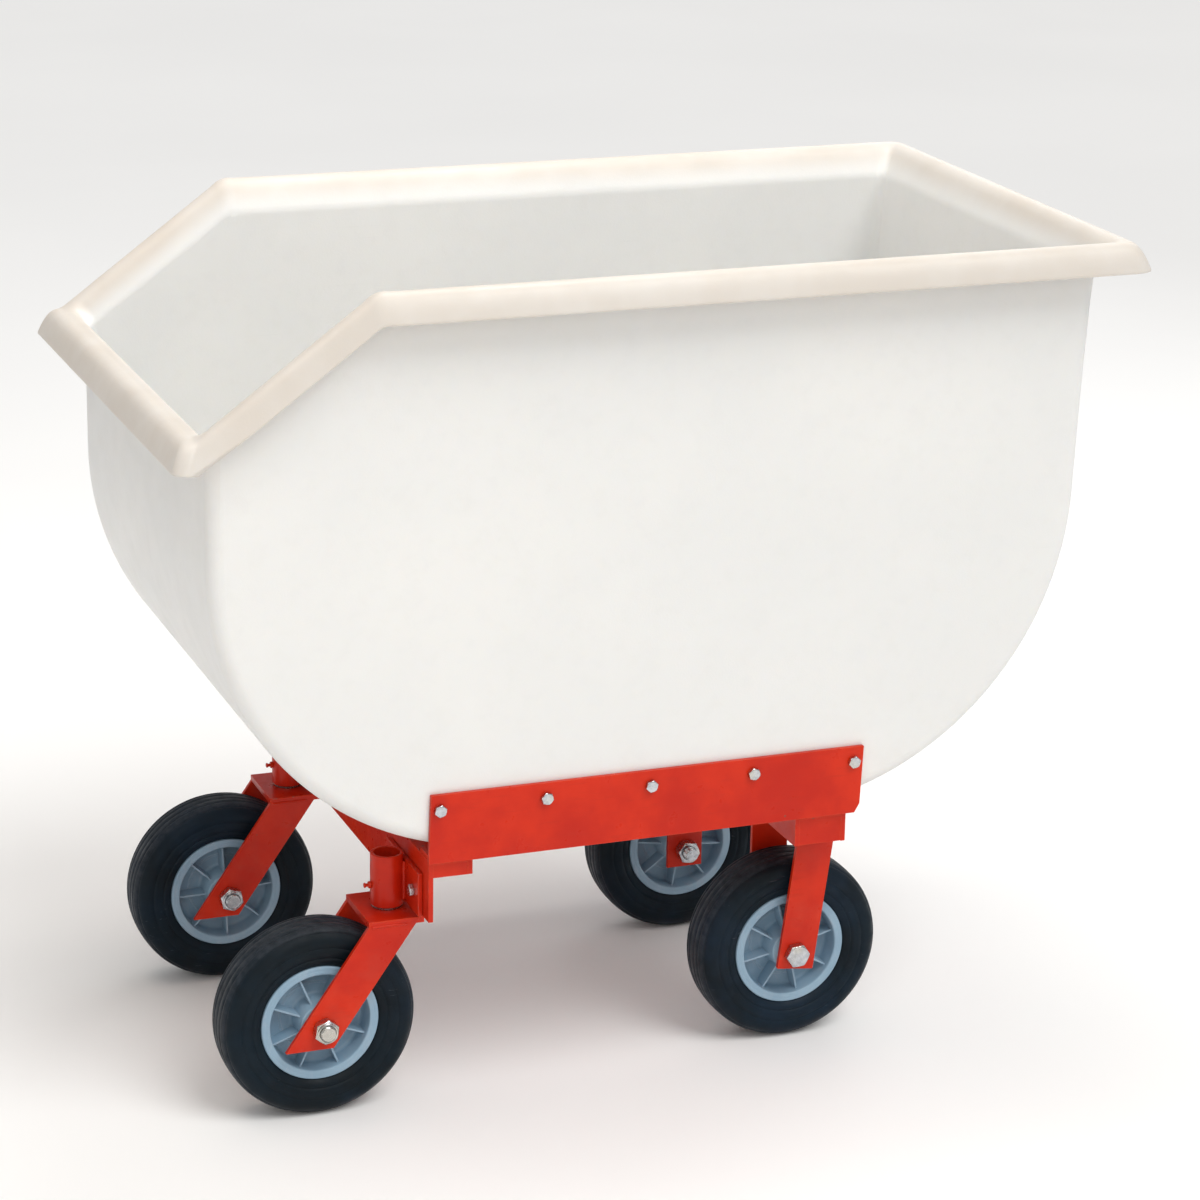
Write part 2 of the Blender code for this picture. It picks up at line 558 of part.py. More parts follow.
# ---------------------------------------------------------------- fasteners
def through_bolt(name, origin, turn, grip, thread, washer=0.0):
    """Hex bolt with its nut drawn up: the head is at the origin's side, and the grip is clamped between."""
    af, head, r = 0.00715, 0.0064, 0.0046
    rings = [(-head, "hex", af * 0.88), (-head + 0.0010, "hex", af), (-GAP, "hex", af), (-GAP, "round", r), (grip + GAP, "round", r)]
    if washer:
        rings += [(grip + GAP, "round", washer), (grip + GAP + 0.0018, "round", washer)]
        grip += 0.0018
    rings += [(grip + GAP, "hex", af), (grip + 0.0080, "hex", af), (grip + 0.0080, "round", r), (grip + 0.0080 + thread, "round", r)]
    bm = bmesh.new()
    add_stack(bm, rings, 12, Matrix.Translation(origin) @ turn)
    finish(bm, name, ZINC)


for side_name, side in SIDES:
    outer = TUB_HALF_WIDTH + GAP + RAIL_T
    turn = ALONG_NEG_Y if side > 0 else ALONG_Y
    for i, x in enumerate(rail_bolt_x):
        through_bolt("rail_bolt_%s_%d" % (side_name, i + 1), (x, side * outer, RAIL_BOLT_Z), turn, RAIL_T + GAP + WALL, 0.003, 0.0120)
    for i, s in enumerate((-1, 1)):
        through_bolt(
            "bracket_bolt_%s_%d" % (side_name, i + 1),
            (FRONT_CROSS_X0 - GAP - BRACKET_T, side * PIVOT_Y + s * BRACKET_BOLT_Y, BRACKET_BOLT_Z),
            ALONG_X,
            BRACKET_T + GAP + T,
            0.004,
        )
    # tub hold-down: head inside the tub, spacer between tub and flange, nut below
    inside = 0.3810
    bm = bmesh.new()
    add_stack(
        bm,
        [
            (inside + 0.0075, "hex", 0.0062),
            (inside + 0.0062, "hex", 0.00715),
            (inside, "hex", 0.00715),
            (inside, "round", 0.0046),
            (CROSS_TOP - T - GAP, "round", 0.0046),
            (CROSS_TOP - T - GAP, "hex", 0.00715),
            (CROSS_TOP - T - 0.0080, "hex", 0.00715),
            (CROSS_TOP - T - 0.0080, "round", 0.0046),
            (CROSS_TOP - T - 0.0110, "round", 0.0046),
        ],
        12,
        Matrix.Translation((TUB_BOLT_X, side * TUB_BOLT_Y, 0)),
    )
    finish(bm, "tub_bolt_" + side_name, ZINC)
    finish(turned([(0.0050, 0), (0.0085, 0), (0.0085, 0.0130), (0.0050, 0.0130)], 16), "tub_spacer_" + side_name, ZINC, (TUB_BOLT_X, side * TUB_BOLT_Y, CROSS_TOP + GAP))

# ---------------------------------------------------------------- placing
# The origin is on the floor under the middle of the overall box.
for obj in bpy.data.objects:
    obj.location.x += CENTRE_SHIFT
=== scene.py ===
import math

import bmesh
import bpy
import numpy as np
from mathutils import Matrix, Vector, noise


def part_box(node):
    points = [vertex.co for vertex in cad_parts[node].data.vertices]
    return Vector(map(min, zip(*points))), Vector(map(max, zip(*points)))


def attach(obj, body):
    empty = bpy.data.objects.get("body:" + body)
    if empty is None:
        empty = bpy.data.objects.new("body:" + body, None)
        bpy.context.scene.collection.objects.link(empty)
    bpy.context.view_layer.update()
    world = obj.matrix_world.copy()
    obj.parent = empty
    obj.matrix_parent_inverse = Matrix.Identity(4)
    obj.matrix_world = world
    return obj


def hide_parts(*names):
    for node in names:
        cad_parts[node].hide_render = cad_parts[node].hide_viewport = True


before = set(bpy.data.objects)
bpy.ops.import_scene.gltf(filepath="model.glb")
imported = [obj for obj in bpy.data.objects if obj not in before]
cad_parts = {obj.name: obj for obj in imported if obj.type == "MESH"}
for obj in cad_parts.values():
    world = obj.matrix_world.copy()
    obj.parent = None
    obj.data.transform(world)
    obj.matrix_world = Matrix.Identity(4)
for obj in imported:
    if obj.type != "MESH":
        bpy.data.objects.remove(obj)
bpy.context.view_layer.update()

scene = bpy.context.scene
scene.view_settings.view_transform = "Standard"

SIDES = (("left", -1), ("right", 1))
Z_TO_Y = Matrix.Rotation(-math.pi / 2, 4, "X")
Z_TO_NEG_Y = Matrix.Rotation(math.pi / 2, 4, "X")
Z_TO_X = Matrix.Rotation(math.pi / 2, 4, "Y")
Z_TO_NEG_X = Matrix.Rotation(-math.pi / 2, 4, "Y")


def middle(node):
    lo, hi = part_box(node)
    return (lo + hi) / 2


def smooth(t):
    t = min(max(t, 0.0), 1.0)
    return t * t * (3 - 2 * t)


# ---------------------------------------------------------------- camera, light and floor
camera = bpy.data.objects.new("camera", bpy.data.cameras.new("camera"))
camera.data.lens = 109.33
camera.data.sensor_width = 36
camera.data.clip_end = 200
right = Vector((0.93536, -0.35325, 0.01760))
down = Vector((-0.09311, -0.29393, -0.95128))
ahead = Vector((0.34122, 0.88815, -0.30782))
camera.matrix_world = Matrix.Translation((-1.6047, -4.2705, 2.0392)) @ Matrix((right, -down, -ahead)).transposed().to_4x4()
scene.collection.objects.link(camera)
scene.camera = camera

world = bpy.data.worlds.new("studio")
world.use_nodes = True
world.node_tree.nodes["Background"].inputs[0].default_value = (1.0, 0.995, 0.985, 1)
world.node_tree.nodes["Background"].inputs[1].default_value = 0.45
scene.world = world


def lamp(kind, name, place, target, power, colour, **more):
    data = bpy.data.lights.new(name, kind)
    data.energy = power
    data.color = colour
    for key, value in more.items():
        setattr(data, key, value)
    obj = bpy.data.objects.new(name, data)
    obj.location = place
    obj.rotation_euler = (Vector(target) - Vector(place)).to_track_quat("-Z", "Y").to_euler()
    scene.collection.objects.link(obj)


lamp("SUN", "key", (1.3, -2.75, 4.6), (0, 0, 0.4), 1.66, (1.0, 0.99, 0.97), angle=math.radians(36))
lamp("AREA", "front_softbox", (-1.0, -3.6, 2.2), (0, 0, 0.5), 15, (1, 0.985, 0.965), shape="RECTANGLE", size=2.2, size_y=1.2)
lamp("AREA", "rear_softbox", (2.4, 2.6, 2.6), (0, 0, 0.6), 16, (1, 1, 1), shape="RECTANGLE", size=2.0, size_y=2.0)
lamp("AREA", "overhead_warm", (-1.3, 0.1, 3.3), (0.35, 0, 0.8), 14, (1.0, 0.87, 0.74), shape="RECTANGLE", size=1.4, size_y=1.4)
lamp("AREA", "overhead_white", (0.25, 0.35, 3.1), (0.1, 0.1, 0.7), 24, (1.0, 0.985, 0.955), shape="RECTANGLE", size=1.2, size_y=0.9)
lamp("AREA", "low_fill", (-1.9, -2.6, 0.7), (-0.35, -0.2, 0.2), 3, (1.0, 0.82, 0.64), shape="RECTANGLE", size=1.2, size_y=0.8)


# ---------------------------------------------------------------- materials
class Graph:
    """A Principled material, with short ways to add the nodes behind it."""

    def __init__(self, name, **values):
        self.material = bpy.data.materials.new(name)
        self.material.use_nodes = True
        self.tree = self.material.node_tree
        self.shader = self.tree.nodes["Principled BSDF"]
        for key, value in values.items():
            self.shader.inputs[key.replace("_", " ")].default_value = value
        self.where = self.tree.nodes.new("ShaderNodeTexCoord").outputs["Object"]

    def put(self, socket, value):
        if isinstance(value, bpy.types.NodeSocket):
            self.tree.links.new(value, socket)
        else:
            socket.default_value = value

    def scaled(self, scale):
        node = self.tree.nodes.new("ShaderNodeMapping")
        node.inputs["Scale"].default_value = scale
        self.put(node.inputs["Vector"], self.where)
        return node.outputs[0]

    def noise(self, scale, detail=3, rough=0.5, vector=None, distortion=0):
        node = self.tree.nodes.new("ShaderNodeTexNoise")
        self.put(node.inputs["Vector"], vector or self.where)
        node.inputs["Scale"].default_value = scale
        node.inputs["Detail"].default_value = detail
        node.inputs["Roughness"].default_value = rough
        node.inputs["Distortion"].default_value = distortion
        return node.outputs["Fac"]

    def cells(self, scale, feature="F1", randomness=1.0, vector=None):
        node = self.tree.nodes.new("ShaderNodeTexVoronoi")
        node.feature = feature
        self.put(node.inputs["Vector"], vector or self.where)
        node.inputs["Scale"].default_value = scale
        node.inputs["Randomness"].default_value = randomness
        return node.outputs["Distance"]

    def ramp(self, value, lo, hi, to_lo=0.0, to_hi=1.0):
        node = self.tree.nodes.new("ShaderNodeMapRange")
        node.interpolation_type = "SMOOTHSTEP"
        self.put(node.inputs["Value"], value)
        for key, number in (("From Min", lo), ("From Max", hi), ("To Min", to_lo), ("To Max", to_hi)):
            node.inputs[key].default_value = number
        return node.outputs[0]

    def math(self, operation, a, b=0.0):
        node = self.tree.nodes.new("ShaderNodeMath")
        node.operation = operation
        self.put(node.inputs[0], a)
        self.put(node.inputs[1], b)
        return node.outputs[0]

    def mix(self, amount, a, b):
        node = self.tree.nodes.new("ShaderNodeMix")
        node.data_type = "RGBA"
        self.put(node.inputs["Factor"], amount)
        self.put(node.inputs["A"], a if isinstance(a, bpy.types.NodeSocket) else (*a, 1))
        self.put(node.inputs["B"], b if isinstance(b, bpy.types.NodeSocket) else (*b, 1))
        return node.outputs["Result"]

    def attribute(self, name):
        node = self.tree.nodes.new("ShaderNodeAttribute")
        node.attribute_name = name
        return node.outputs["Fac"]

    def height(self):
        node = self.tree.nodes.new("ShaderNodeSeparateXYZ")
        self.put(node.inputs[0], self.where)
        return node.outputs["Z"]

    def bump(self, *layers):
        """Layers of (height, distance in metres), laid over one another."""
        normal = None
        for height, distance in layers:
            node = self.tree.nodes.new("ShaderNodeBump")
            node.inputs["Strength"].default_value = 1.0
            node.inputs["Distance"].default_value = distance
            self.put(node.inputs["Height"], height)
            if normal:
                self.put(node.inputs["Normal"], normal)
            normal = node.outputs[0]
        self.put(self.shader.inputs["Normal"], normal)

    def edges(self, radius, lo, hi):
        """1 on outer edges, 0 on flats."""
        bevel = self.tree.nodes.new("ShaderNodeBevel")
        bevel.samples = 4
        bevel.inputs["Radius"].default_value = radius
        geometry = self.tree.nodes.new("ShaderNodeNewGeometry")
        dot = self.tree.nodes.new("ShaderNodeVectorMath")
        dot.operation = "DOT_PRODUCT"
        self.put(dot.inputs[0], bevel.outputs[0])
        self.put(dot.inputs[1], geometry.outputs["Normal"])
        return self.ramp(dot.outputs["Value"], hi, lo)


def poly_material():
    g = Graph("white_polyethylene", Subsurface_Weight=0.22, Subsurface_Radius=(0.020, 0.017, 0.013), Subsurface_Scale=0.35, IOR=1.5)
    cloud = g.noise(2.6, 3, 0.55)
    mottle = g.noise(46, 4, 0.6)
    colour = g.mix(g.ramp(cloud, 0.35, 0.65), (0.766, 0.770, 0.762), (0.796, 0.796, 0.782))
    colour = g.mix(g.math("MULTIPLY", g.ramp(mottle, 0.45, 0.75), 0.16), colour, (0.700, 0.700, 0.685))
    # painted warm light: the rolled rim is painted warmer and a little darker, standing in for warm light falling on it
    rim_painted_warm_light = g.math("MULTIPLY", g.attribute("rim"), g.ramp(g.noise(9, 3, 0.6), 0.25, 0.7, 0.72, 1.0))
    colour = g.mix(rim_painted_warm_light, colour, (0.640, 0.592, 0.535))
    # powder specks, very sparse
    cells = g.cells(7.5)
    pick = g.noise(7.5, 0, 0.5)
    speck = g.math("MULTIPLY", g.ramp(cells, 0.0165, 0.0105), g.ramp(pick, 0.50, 0.52))
    colour = g.mix(g.math("MULTIPLY", speck, 0.55), colour, (0.25, 0.22, 0.19))
    # faint handling scuffs: long thin streaks along the cart; and the belly darker and warmer towards the bottom
    streak = g.noise(1.0, 5, 0.7, g.scaled((3.0, 14.0, 210.0)), 0.4)
    scuff = g.math("MULTIPLY", g.ramp(streak, 0.63, 0.76), g.ramp(g.noise(5, 2), 0.5, 0.7))
    colour = g.mix(g.math("MULTIPLY", scuff, 0.17), colour, (0.50, 0.49, 0.47))
    belly = g.math("MULTIPLY", g.ramp(g.height(), 0.56, 0.36), g.ramp(g.noise(16, 5, 0.65), 0.35, 0.75))
    colour = g.mix(g.math("MULTIPLY", belly, 0.12), colour, (0.58, 0.54, 0.48))
    g.put(g.shader.inputs["Base Color"], colour)
    g.put(g.shader.inputs["Roughness"], g.ramp(g.math("ADD", g.noise(22, 4, 0.6), g.math("MULTIPLY", scuff, 0.5)), 0.3, 0.9, 0.36, 0.60))
    g.bump((g.noise(7, 2), 0.0014), (g.noise(340, 2, 0.6), 0.00010), (g.cells(620, "SMOOTH_F1"), 0.00005))
    return g.material


def paint_material(name="red_enamel", shade=1.0):
    g = Graph(name, Coat_Weight=0.10, Coat_Roughness=0.10, IOR=1.5, Specular_IOR_Level=0.18)
    flow = g.noise(11, 4, 0.6)
    drag = g.noise(1.0, 4, 0.65, g.scaled((26.0, 26.0, 190.0)), 0.3)
    colour = g.mix(g.ramp(flow, 0.32, 0.68), tuple(shade * c for c in (0.500, 0.014, 0.003)), tuple(shade * c for c in (0.625, 0.025, 0.004)))
    colour = g.mix(g.math("MULTIPLY", g.ramp(drag, 0.52, 0.74), 0.35), colour, tuple(shade * c for c in (0.460, 0.020, 0.006)))
    edge = g.edges(0.0016, 0.90, 0.985)
    # painted highlight: the edges are painted lighter and more orange, standing in for light catching them; past that
    # they are worn through to primer and bare steel in a few places
    colour = g.mix(g.math("MULTIPLY", edge, 0.55), colour, tuple(shade * c for c in (0.74, 0.080, 0.018)))
    breaks = g.noise(95, 5, 0.7)
    worn = g.math("MULTIPLY", edge, g.ramp(breaks, 0.60, 0.66))
    colour = g.mix(g.math("MULTIPLY", worn, 0.85), colour, (0.235, 0.195, 0.175))
    chips = g.math("MULTIPLY", g.ramp(g.cells(38), 0.075, 0.055), g.ramp(g.noise(38, 0), 0.585, 0.60))
    colour = g.mix(g.math("MULTIPLY", chips, 0.75), colour, (0.17, 0.085, 0.060))
    dust = g.math("MULTIPLY", g.ramp(g.height(), 0.36, 0.10), g.ramp(g.noise(24, 5, 0.7), 0.42, 0.78))
    colour = g.mix(g.math("MULTIPLY", dust, 0.07), colour, (0.46, 0.30, 0.20))
    g.put(g.shader.inputs["Base Color"], colour)
    rough = g.ramp(g.noise(60, 4, 0.6), 0.25, 0.8, 0.26, 0.44)
    g.put(g.shader.inputs["Roughness"], g.math("ADD", rough, g.math("MULTIPLY", worn, 0.25)))
    g.bump(
        (g.noise(30, 3), 0.00035),
        (g.noise(520, 2, 0.5), 0.00006),
        (drag, 0.00012),
        (g.math("ADD", g.math("MULTIPLY", worn, -1.0), g.math("MULTIPLY", chips, -1.0)), 0.00012),
    )
    return g.material


def rubber_material():
    g = Graph("black_rubber", IOR=1.5, Specular_IOR_Level=0.18)
    colour = g.mix(g.ramp(g.noise(14, 4, 0.6), 0.3, 0.7), (0.0012, 0.0048, 0.0080), (0.0022, 0.0100, 0.0180))
    bloom = g.math("MULTIPLY", g.ramp(g.noise(5.5, 4, 0.6), 0.48, 0.74), 0.35)
    colour = g.mix(bloom, colour, (0.009, 0.028, 0.062))
    # scuffed and dusty where the tread has rolled
    tread = g.math("MULTIPLY", g.attribute("tread"), g.ramp(g.noise(70, 5, 0.7), 0.32, 0.68, 0.25, 1.0))
    colour = g.mix(g.math("MULTIPLY", tread, 0.45), colour, (0.060, 0.066, 0.080))
    nick = g.math("MULTIPLY", g.ramp(g.noise(1.0, 3, 0.6, g.scaled((60.0, 60.0, 420.0))), 0.66, 0.74), g.ramp(g.noise(17, 2), 0.52, 0.62))
    colour = g.mix(g.math("MULTIPLY", nick, 0.35), colour, (0.13, 0.14, 0.16))
    g.put(g.shader.inputs["Base Color"], colour)
    g.put(g.shader.inputs["Roughness"], g.ramp(g.noise(40, 4, 0.6), 0.3, 0.75, 0.42, 0.66))
    g.bump((g.noise(26, 3), 0.0003), (g.noise(700, 3, 0.6), 0.00008), (g.math("MULTIPLY", tread, g.cells(900)), 0.00018))
    return g.material


def hub_material():
    g = Graph("grey_hub_moulding", IOR=1.5)
    colour = g.mix(g.ramp(g.noise(18, 4, 0.6), 0.3, 0.7), (0.225, 0.350, 0.460), (0.270, 0.395, 0.500))
    swirl = g.noise(1.0, 4, 0.6, g.scaled((70.0, 14.0, 30.0)), 1.2)
    colour = g.mix(g.math("MULTIPLY", g.ramp(swirl, 0.50, 0.72), 0.30), colour, (0.37, 0.43, 0.50))
    edge = g.edges(0.0012, 0.90, 0.985)
    colour = g.mix(g.math("MULTIPLY", edge, 0.50), colour, (0.50, 0.55, 0.60))
    # painted shade: the recesses between the ribs are painted darker and bluer, standing in for the shadow that falls
    # in them
    painted_recess_shade = g.math("MULTIPLY", g.attribute("recess"), g.ramp(g.noise(60, 5, 0.7), 0.30, 0.75, 0.35, 1.0))
    colour = g.mix(g.math("MULTIPLY", painted_recess_shade, 0.14), colour, (0.060, 0.120, 0.190))
    g.put(g.shader.inputs["Base Color"], colour)
    g.put(g.shader.inputs["Roughness"], g.ramp(g.noise(50, 4), 0.3, 0.75, 0.34, 0.52))
    g.bump((g.noise(45, 3), 0.00025), (g.noise(620, 2), 0.00006))
    return g.material


def zinc_material(name, colour_a, colour_b, tint):
    g = Graph(name, Metallic=1.0)
    colour = g.mix(g.ramp(g.noise(160, 4, 0.6), 0.3, 0.7), colour_a, colour_b)
    colour = g.mix(g.math("MULTIPLY", g.ramp(g.noise(28, 2), 0.46, 0.66), 0.55), colour, tint)
    edge = g.edges(0.0007, 0.90, 0.985)
    colour = g.mix(g.math("MULTIPLY", edge, 0.6), colour, (0.93, 0.93, 0.92))
    spots = g.math("MULTIPLY", g.ramp(g.noise(420, 5, 0.7), 0.62, 0.72), 0.5)
    colour = g.mix(spots, colour, (0.30, 0.27, 0.24))
    g.put(g.shader.inputs["Base Color"], colour)
    g.put(g.shader.inputs["Roughness"], g.ramp(g.noise(240, 4, 0.65), 0.3, 0.75, 0.16, 0.34))
    g.bump((g.noise(900, 3), 0.00004), (g.noise(1.0, 3, 0.5, g.scaled((1500.0, 160.0, 1500.0))), 0.00003))
    return g.material


POLY = poly_material()
RED = paint_material()
RUBBER = rubber_material()
HUB = hub_material()
ZINC = zinc_material("bright_zinc", (0.44, 0.46, 0.49), (0.60, 0.62, 0.65), (0.56, 0.53, 0.42))
STEEL = zinc_material("oiled_steel", (0.20, 0.20, 0.21), (0.36, 0.36, 0.37), (0.26, 0.20, 0.15))
NYLON = Graph("nylon_insert", Subsurface_Weight=0.1, Subsurface_Radius=(0.002, 0.002, 0.003), Subsurface_Scale=0.5)
NYLON.put(NYLON.shader.inputs["Base Color"], NYLON.mix(NYLON.ramp(NYLON.noise(300, 3), 0.35, 0.65), (0.62, 0.66, 0.70), (0.76, 0.79, 0.82)))
NYLON.put(NYLON.shader.inputs["Roughness"], NYLON.ramp(NYLON.noise(500, 3), 0.3, 0.7, 0.40, 0.60))
NYLON.bump((NYLON.noise(1200, 2), 0.00003))
NYLON = NYLON.material


def floor_material():
    g = Graph("pale_floor", Roughness=0.6)
    g.shader.inputs["Specular IOR Level"].default_value = 0.15
    g.put(g.shader.inputs["Base Color"], g.mix(g.ramp(g.noise(0.8, 3), 0.3, 0.7), (0.945, 0.945, 0.945), (0.965, 0.965, 0.965)))
    g.bump((g.noise(90, 2), 0.0001))
    return g.material


bm = bmesh.new()
bmesh.ops.create_grid(bm, x_segments=8, y_segments=8, size=45)
mesh = bpy.data.meshes.new("floor")
bm.to_mesh(mesh)
bm.free()
floor = bpy.data.objects.new("floor", mesh)
mesh.materials.append(floor_material())
floor.location.z = -0.0004
scene.collection.objects.link(floor)


# ---------------------------------------------------------------- making pieces
def bake(obj):
    """Applies obj's modifiers to its mesh."""
    bpy.context.view_layer.update()
    graph = bpy.context.evaluated_depsgraph_get()
    made = bpy.data.meshes.new_from_object(obj.evaluated_get(graph), preserve_all_data_layers=True, depsgraph=graph)
    obj.modifiers.clear()
    obj.data = made
    return obj


def piece(name, bm, material, body, stands_for=(), bevel=0.0, segments=3, sharp=40, angle=33, weighted=True, place=None):
    bmesh.ops.recalc_face_normals(bm, faces=bm.faces)
    data = bpy.data.meshes.new(name)
    bm.to_mesh(data)
    bm.free()
    return dress(name, data, material, body, stands_for, bevel, segments, sharp, angle, weighted, place)


def dress(name, data, material, body, stands_for=(), bevel=0.0, segments=3, sharp=40, angle=33, weighted=True, place=None):
    if place is not None:
        data.transform(place)
    obj = bpy.data.objects.new(name, data)
    scene.collection.objects.link(obj)
    data.materials.clear()
    data.materials.append(material)
    for face in data.polygons:
        face.use_smooth = True
    if bevel:
        modifier = obj.modifiers.new("round", "BEVEL")
        modifier.width = bevel
        modifier.segments = segments
        modifier.limit_method = "ANGLE"
        modifier.angle_limit = math.radians(angle)
        modifier.miter_outer = "MITER_ARC"
        modifier.use_clamp_overlap = True
        bake(obj)
        for face in obj.data.polygons:
            face.use_smooth = True
    obj.data.set_sharp_from_angle(angle=math.radians(sharp))
    if weighted:
        modifier = obj.modifiers.new("flats", "WEIGHTED_NORMAL")
        modifier.keep_sharp = True
        modifier.weight = 60
        bake(obj)
    obj.data.name = name
    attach(obj, body)
    if stands_for:
        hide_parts(*stands_for)
    return obj


def steel_from(node, material, body, bevel=0.0010, name=None):
    """A flat-steel piece: the node's own shape with its edges rounded over."""
    bm = bmesh.new()
    bm.from_mesh(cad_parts[node].data)
    bmesh.ops.remove_doubles(bm, verts=bm.verts, dist=2e-6)
    bmesh.ops.dissolve_limit(bm, angle_limit=math.radians(0.6), verts=bm.verts, edges=bm.edges)
    return piece(name or node + "_finished", bm, material, body, (node,), bevel)


def shell_of(rows, closed=False, caps=True):
    """Rings of points joined into a skin. Each row is a list of Vectors; caps close the first and the last one."""
    bm = bmesh.new()
    count = len(rows[0])
    rings = [[bm.verts.new(p) for p in row] for row in rows]
    pairs = list(zip(rings, rings[1:])) + ([(rings[-1], rings[0])] if closed else [])
    for a, b in pairs:
        for i in range(count):
            j = (i + 1) % count
            bm.faces.new((a[i], a[j], b[j], b[i]))
    if caps and not closed:
        bm.faces.new(rings[0])
        bm.faces.new(reversed(rings[-1]))
    return bm


def lathe(profile, steps, closed=True):
    """Profile of (radius, height) round Z."""
    rows = []
    for r, h in profile:
        rows.append([Vector((r * math.cos(2 * math.pi * i / steps), r * math.sin(2 * math.pi * i / steps), h)) for i in range(steps)])
    return shell_of(rows, closed=closed)


def hexed(half, cone, steps):
    """Radii round a hexagon of that half width, cut back to a circle of radius cone."""
    out = []
    for i in range(steps):
        a = 2 * math.pi * i / steps
        out.append(min(half / math.cos((a + math.pi / 6) % (math.pi / 3) - math.pi / 6), cone))
    return out


def ring(radii, z):
    n = len(radii)
    return [Vector((r * math.cos(2 * math.pi * i / n), r * math.sin(2 * math.pi * i / n), z)) for i, r in enumerate(radii)]


def thread_rows(radius, z0, z1, pitch, steps, depth=None):
    depth = depth or pitch * 0.5
    rows, count = [], max(2, int(round((z1 - z0) / (pitch / 6))))
    for k in range(count + 1):
        z = z0 + (z1 - z0) * k / count
        fade = min(1.0, (z1 - z) / (pitch * 0.8) + 0.15, (z - z0) / (pitch * 0.8) + 0.15)
        radii = []
        for i in range(steps):
            t = (z / pitch - i / steps) % 1.0
            tri = abs(2 * t - 1)
            radii.append(radius - depth * fade * min(1.0, 1.25 * tri) - (0.0007 * (1 - (z1 - z) / pitch) if z1 - z < pitch else 0))
        rows.append(ring(radii, z))
    return rows


def bolt(head_half, head, shank, grip, end, pitch, steps=48, washer=None):
    """Bolt with its head below Z = 0, shank up to grip, then threads to end."""
    rows = []
    for k in range(7):
        z = -head + 0.0016 * k / 6
        rows.append(ring(hexed(head_half, head_half * 0.93 + (z + head) * 1.9, steps), z))
    rows.insert(0, ring([head_half * 0.80] * steps, -head - 0.0001))
    rows.append(ring(hexed(head_half, 9, steps), -0.0008))
    rows.append(ring(hexed(head_half, head_half * 1.03, steps), -0.0006))
    rows.append(ring([head_half * 0.97] * steps, -0.0004))
    rows.append(ring([head_half * 0.97] * steps, -0.0003))
    rows.append(ring([shank] * steps, -0.0003))
    rows.append(ring([shank] * steps, grip))
    if end - grip > pitch * 0.5:
        rows += thread_rows(shank, grip + 0.0002, end, pitch, steps)
        rows.append(ring([shank - 0.0016] * steps, end + 0.0001))
    return shell_of(rows)


def nut(half, height, bore, collar=0.0, steps=48):
    """Hexagon nut standing on Z = 0, with a round collar on top where collar is over 0."""
    rows = [ring([bore] * steps, 0.0), ring([half * 0.96] * steps, 0.0), ring([half * 0.97] * steps, 0.0003)]
    for k in range(4):
        z = 0.0003 + 0.0011 * k / 3
        rows.append(ring(hexed(half, half * 0.97 + (z - 0.0003) * 1.9, steps), z))
    top = height - collar
    for k in range(5):
        z = top - 0.0016 * (1 - k / 4)
        rows.append(ring(hexed(half, half * 1.155 - max(0, z - top + 0.0016) * 1.6, steps), z))
    if collar:
        rows.append(ring([half * 0.94] * steps, top + 0.0001))
        rows.append(ring([half * 0.94] * steps, height - 0.0010))
        rows.append(ring([half * 0.90] * steps, height - 0.0003))
        rows.append(ring([half * 0.84] * steps, height))
        rows.append(ring([half * 0.76] * steps, height - 0.0003))
    rows.append(ring([bore + 0.0008] * steps, height - (0.0005 if collar else 0.0)))
    rows.append(ring([bore] * steps, height - 0.0010))
    return shell_of(rows, closed=True)


def merge(*parts):
    """Several bmeshes with their matrices, as one."""
    out = bmesh.new()
    for bm, matrix in parts:
        bmesh.ops.transform(bm, matrix=matrix, verts=bm.verts)
        data = bpy.data.meshes.new("part")
        bm.to_mesh(data)
        bm.free()
        out.from_mesh(data)
        bpy.data.meshes.remove(data)
    return out


def weld(name, path, radius, body, pitch=0.0032, material=None):
    """A run of weld: a bead along path, rippled by the weave of the torch."""
    points = [Vector(p) for p in path]
    lengths = [0.0]
    for a, b in zip(points, points[1:]):
        lengths.append(lengths[-1] + (b - a).length)
    total = lengths[-1]
    count = max(6, int(total / (pitch / 4)))
    rows = []
    for k in range(count + 1):
        s = total * k / count
        i = max(j for j in range(len(lengths)) if lengths[j] <= s + 1e-9)
        i = min(i, len(points) - 2)
        t = (s - lengths[i]) / max(1e-9, lengths[i + 1] - lengths[i])
        centre = points[i].lerp(points[i + 1], t)
        along = (points[i + 1] - points[i]).normalized()
        side = along.cross(Vector((0.31, 0.52, 0.79))).normalized()
        up = along.cross(side)
        wobble = 0.10 * noise.noise(centre * 260)
        ripple = 1.0 - 0.14 * abs(math.sin(math.pi * s / pitch)) ** 0.6 + wobble
        end = min(1.0, 0.45 + s / (2 * radius), 0.45 + (total - s) / (2 * radius))
        r = radius * ripple * end
        shift = side * (0.12 * radius * noise.noise(centre * 130 + Vector((5, 0, 0))))
        rows.append([centre + shift + side * (r * math.cos(a)) + up * (r * math.sin(a)) for a in [2 * math.pi * q / 10 for q in range(10)]])
    return piece(name, shell_of(rows), material or RED, body, weighted=False, sharp=80)


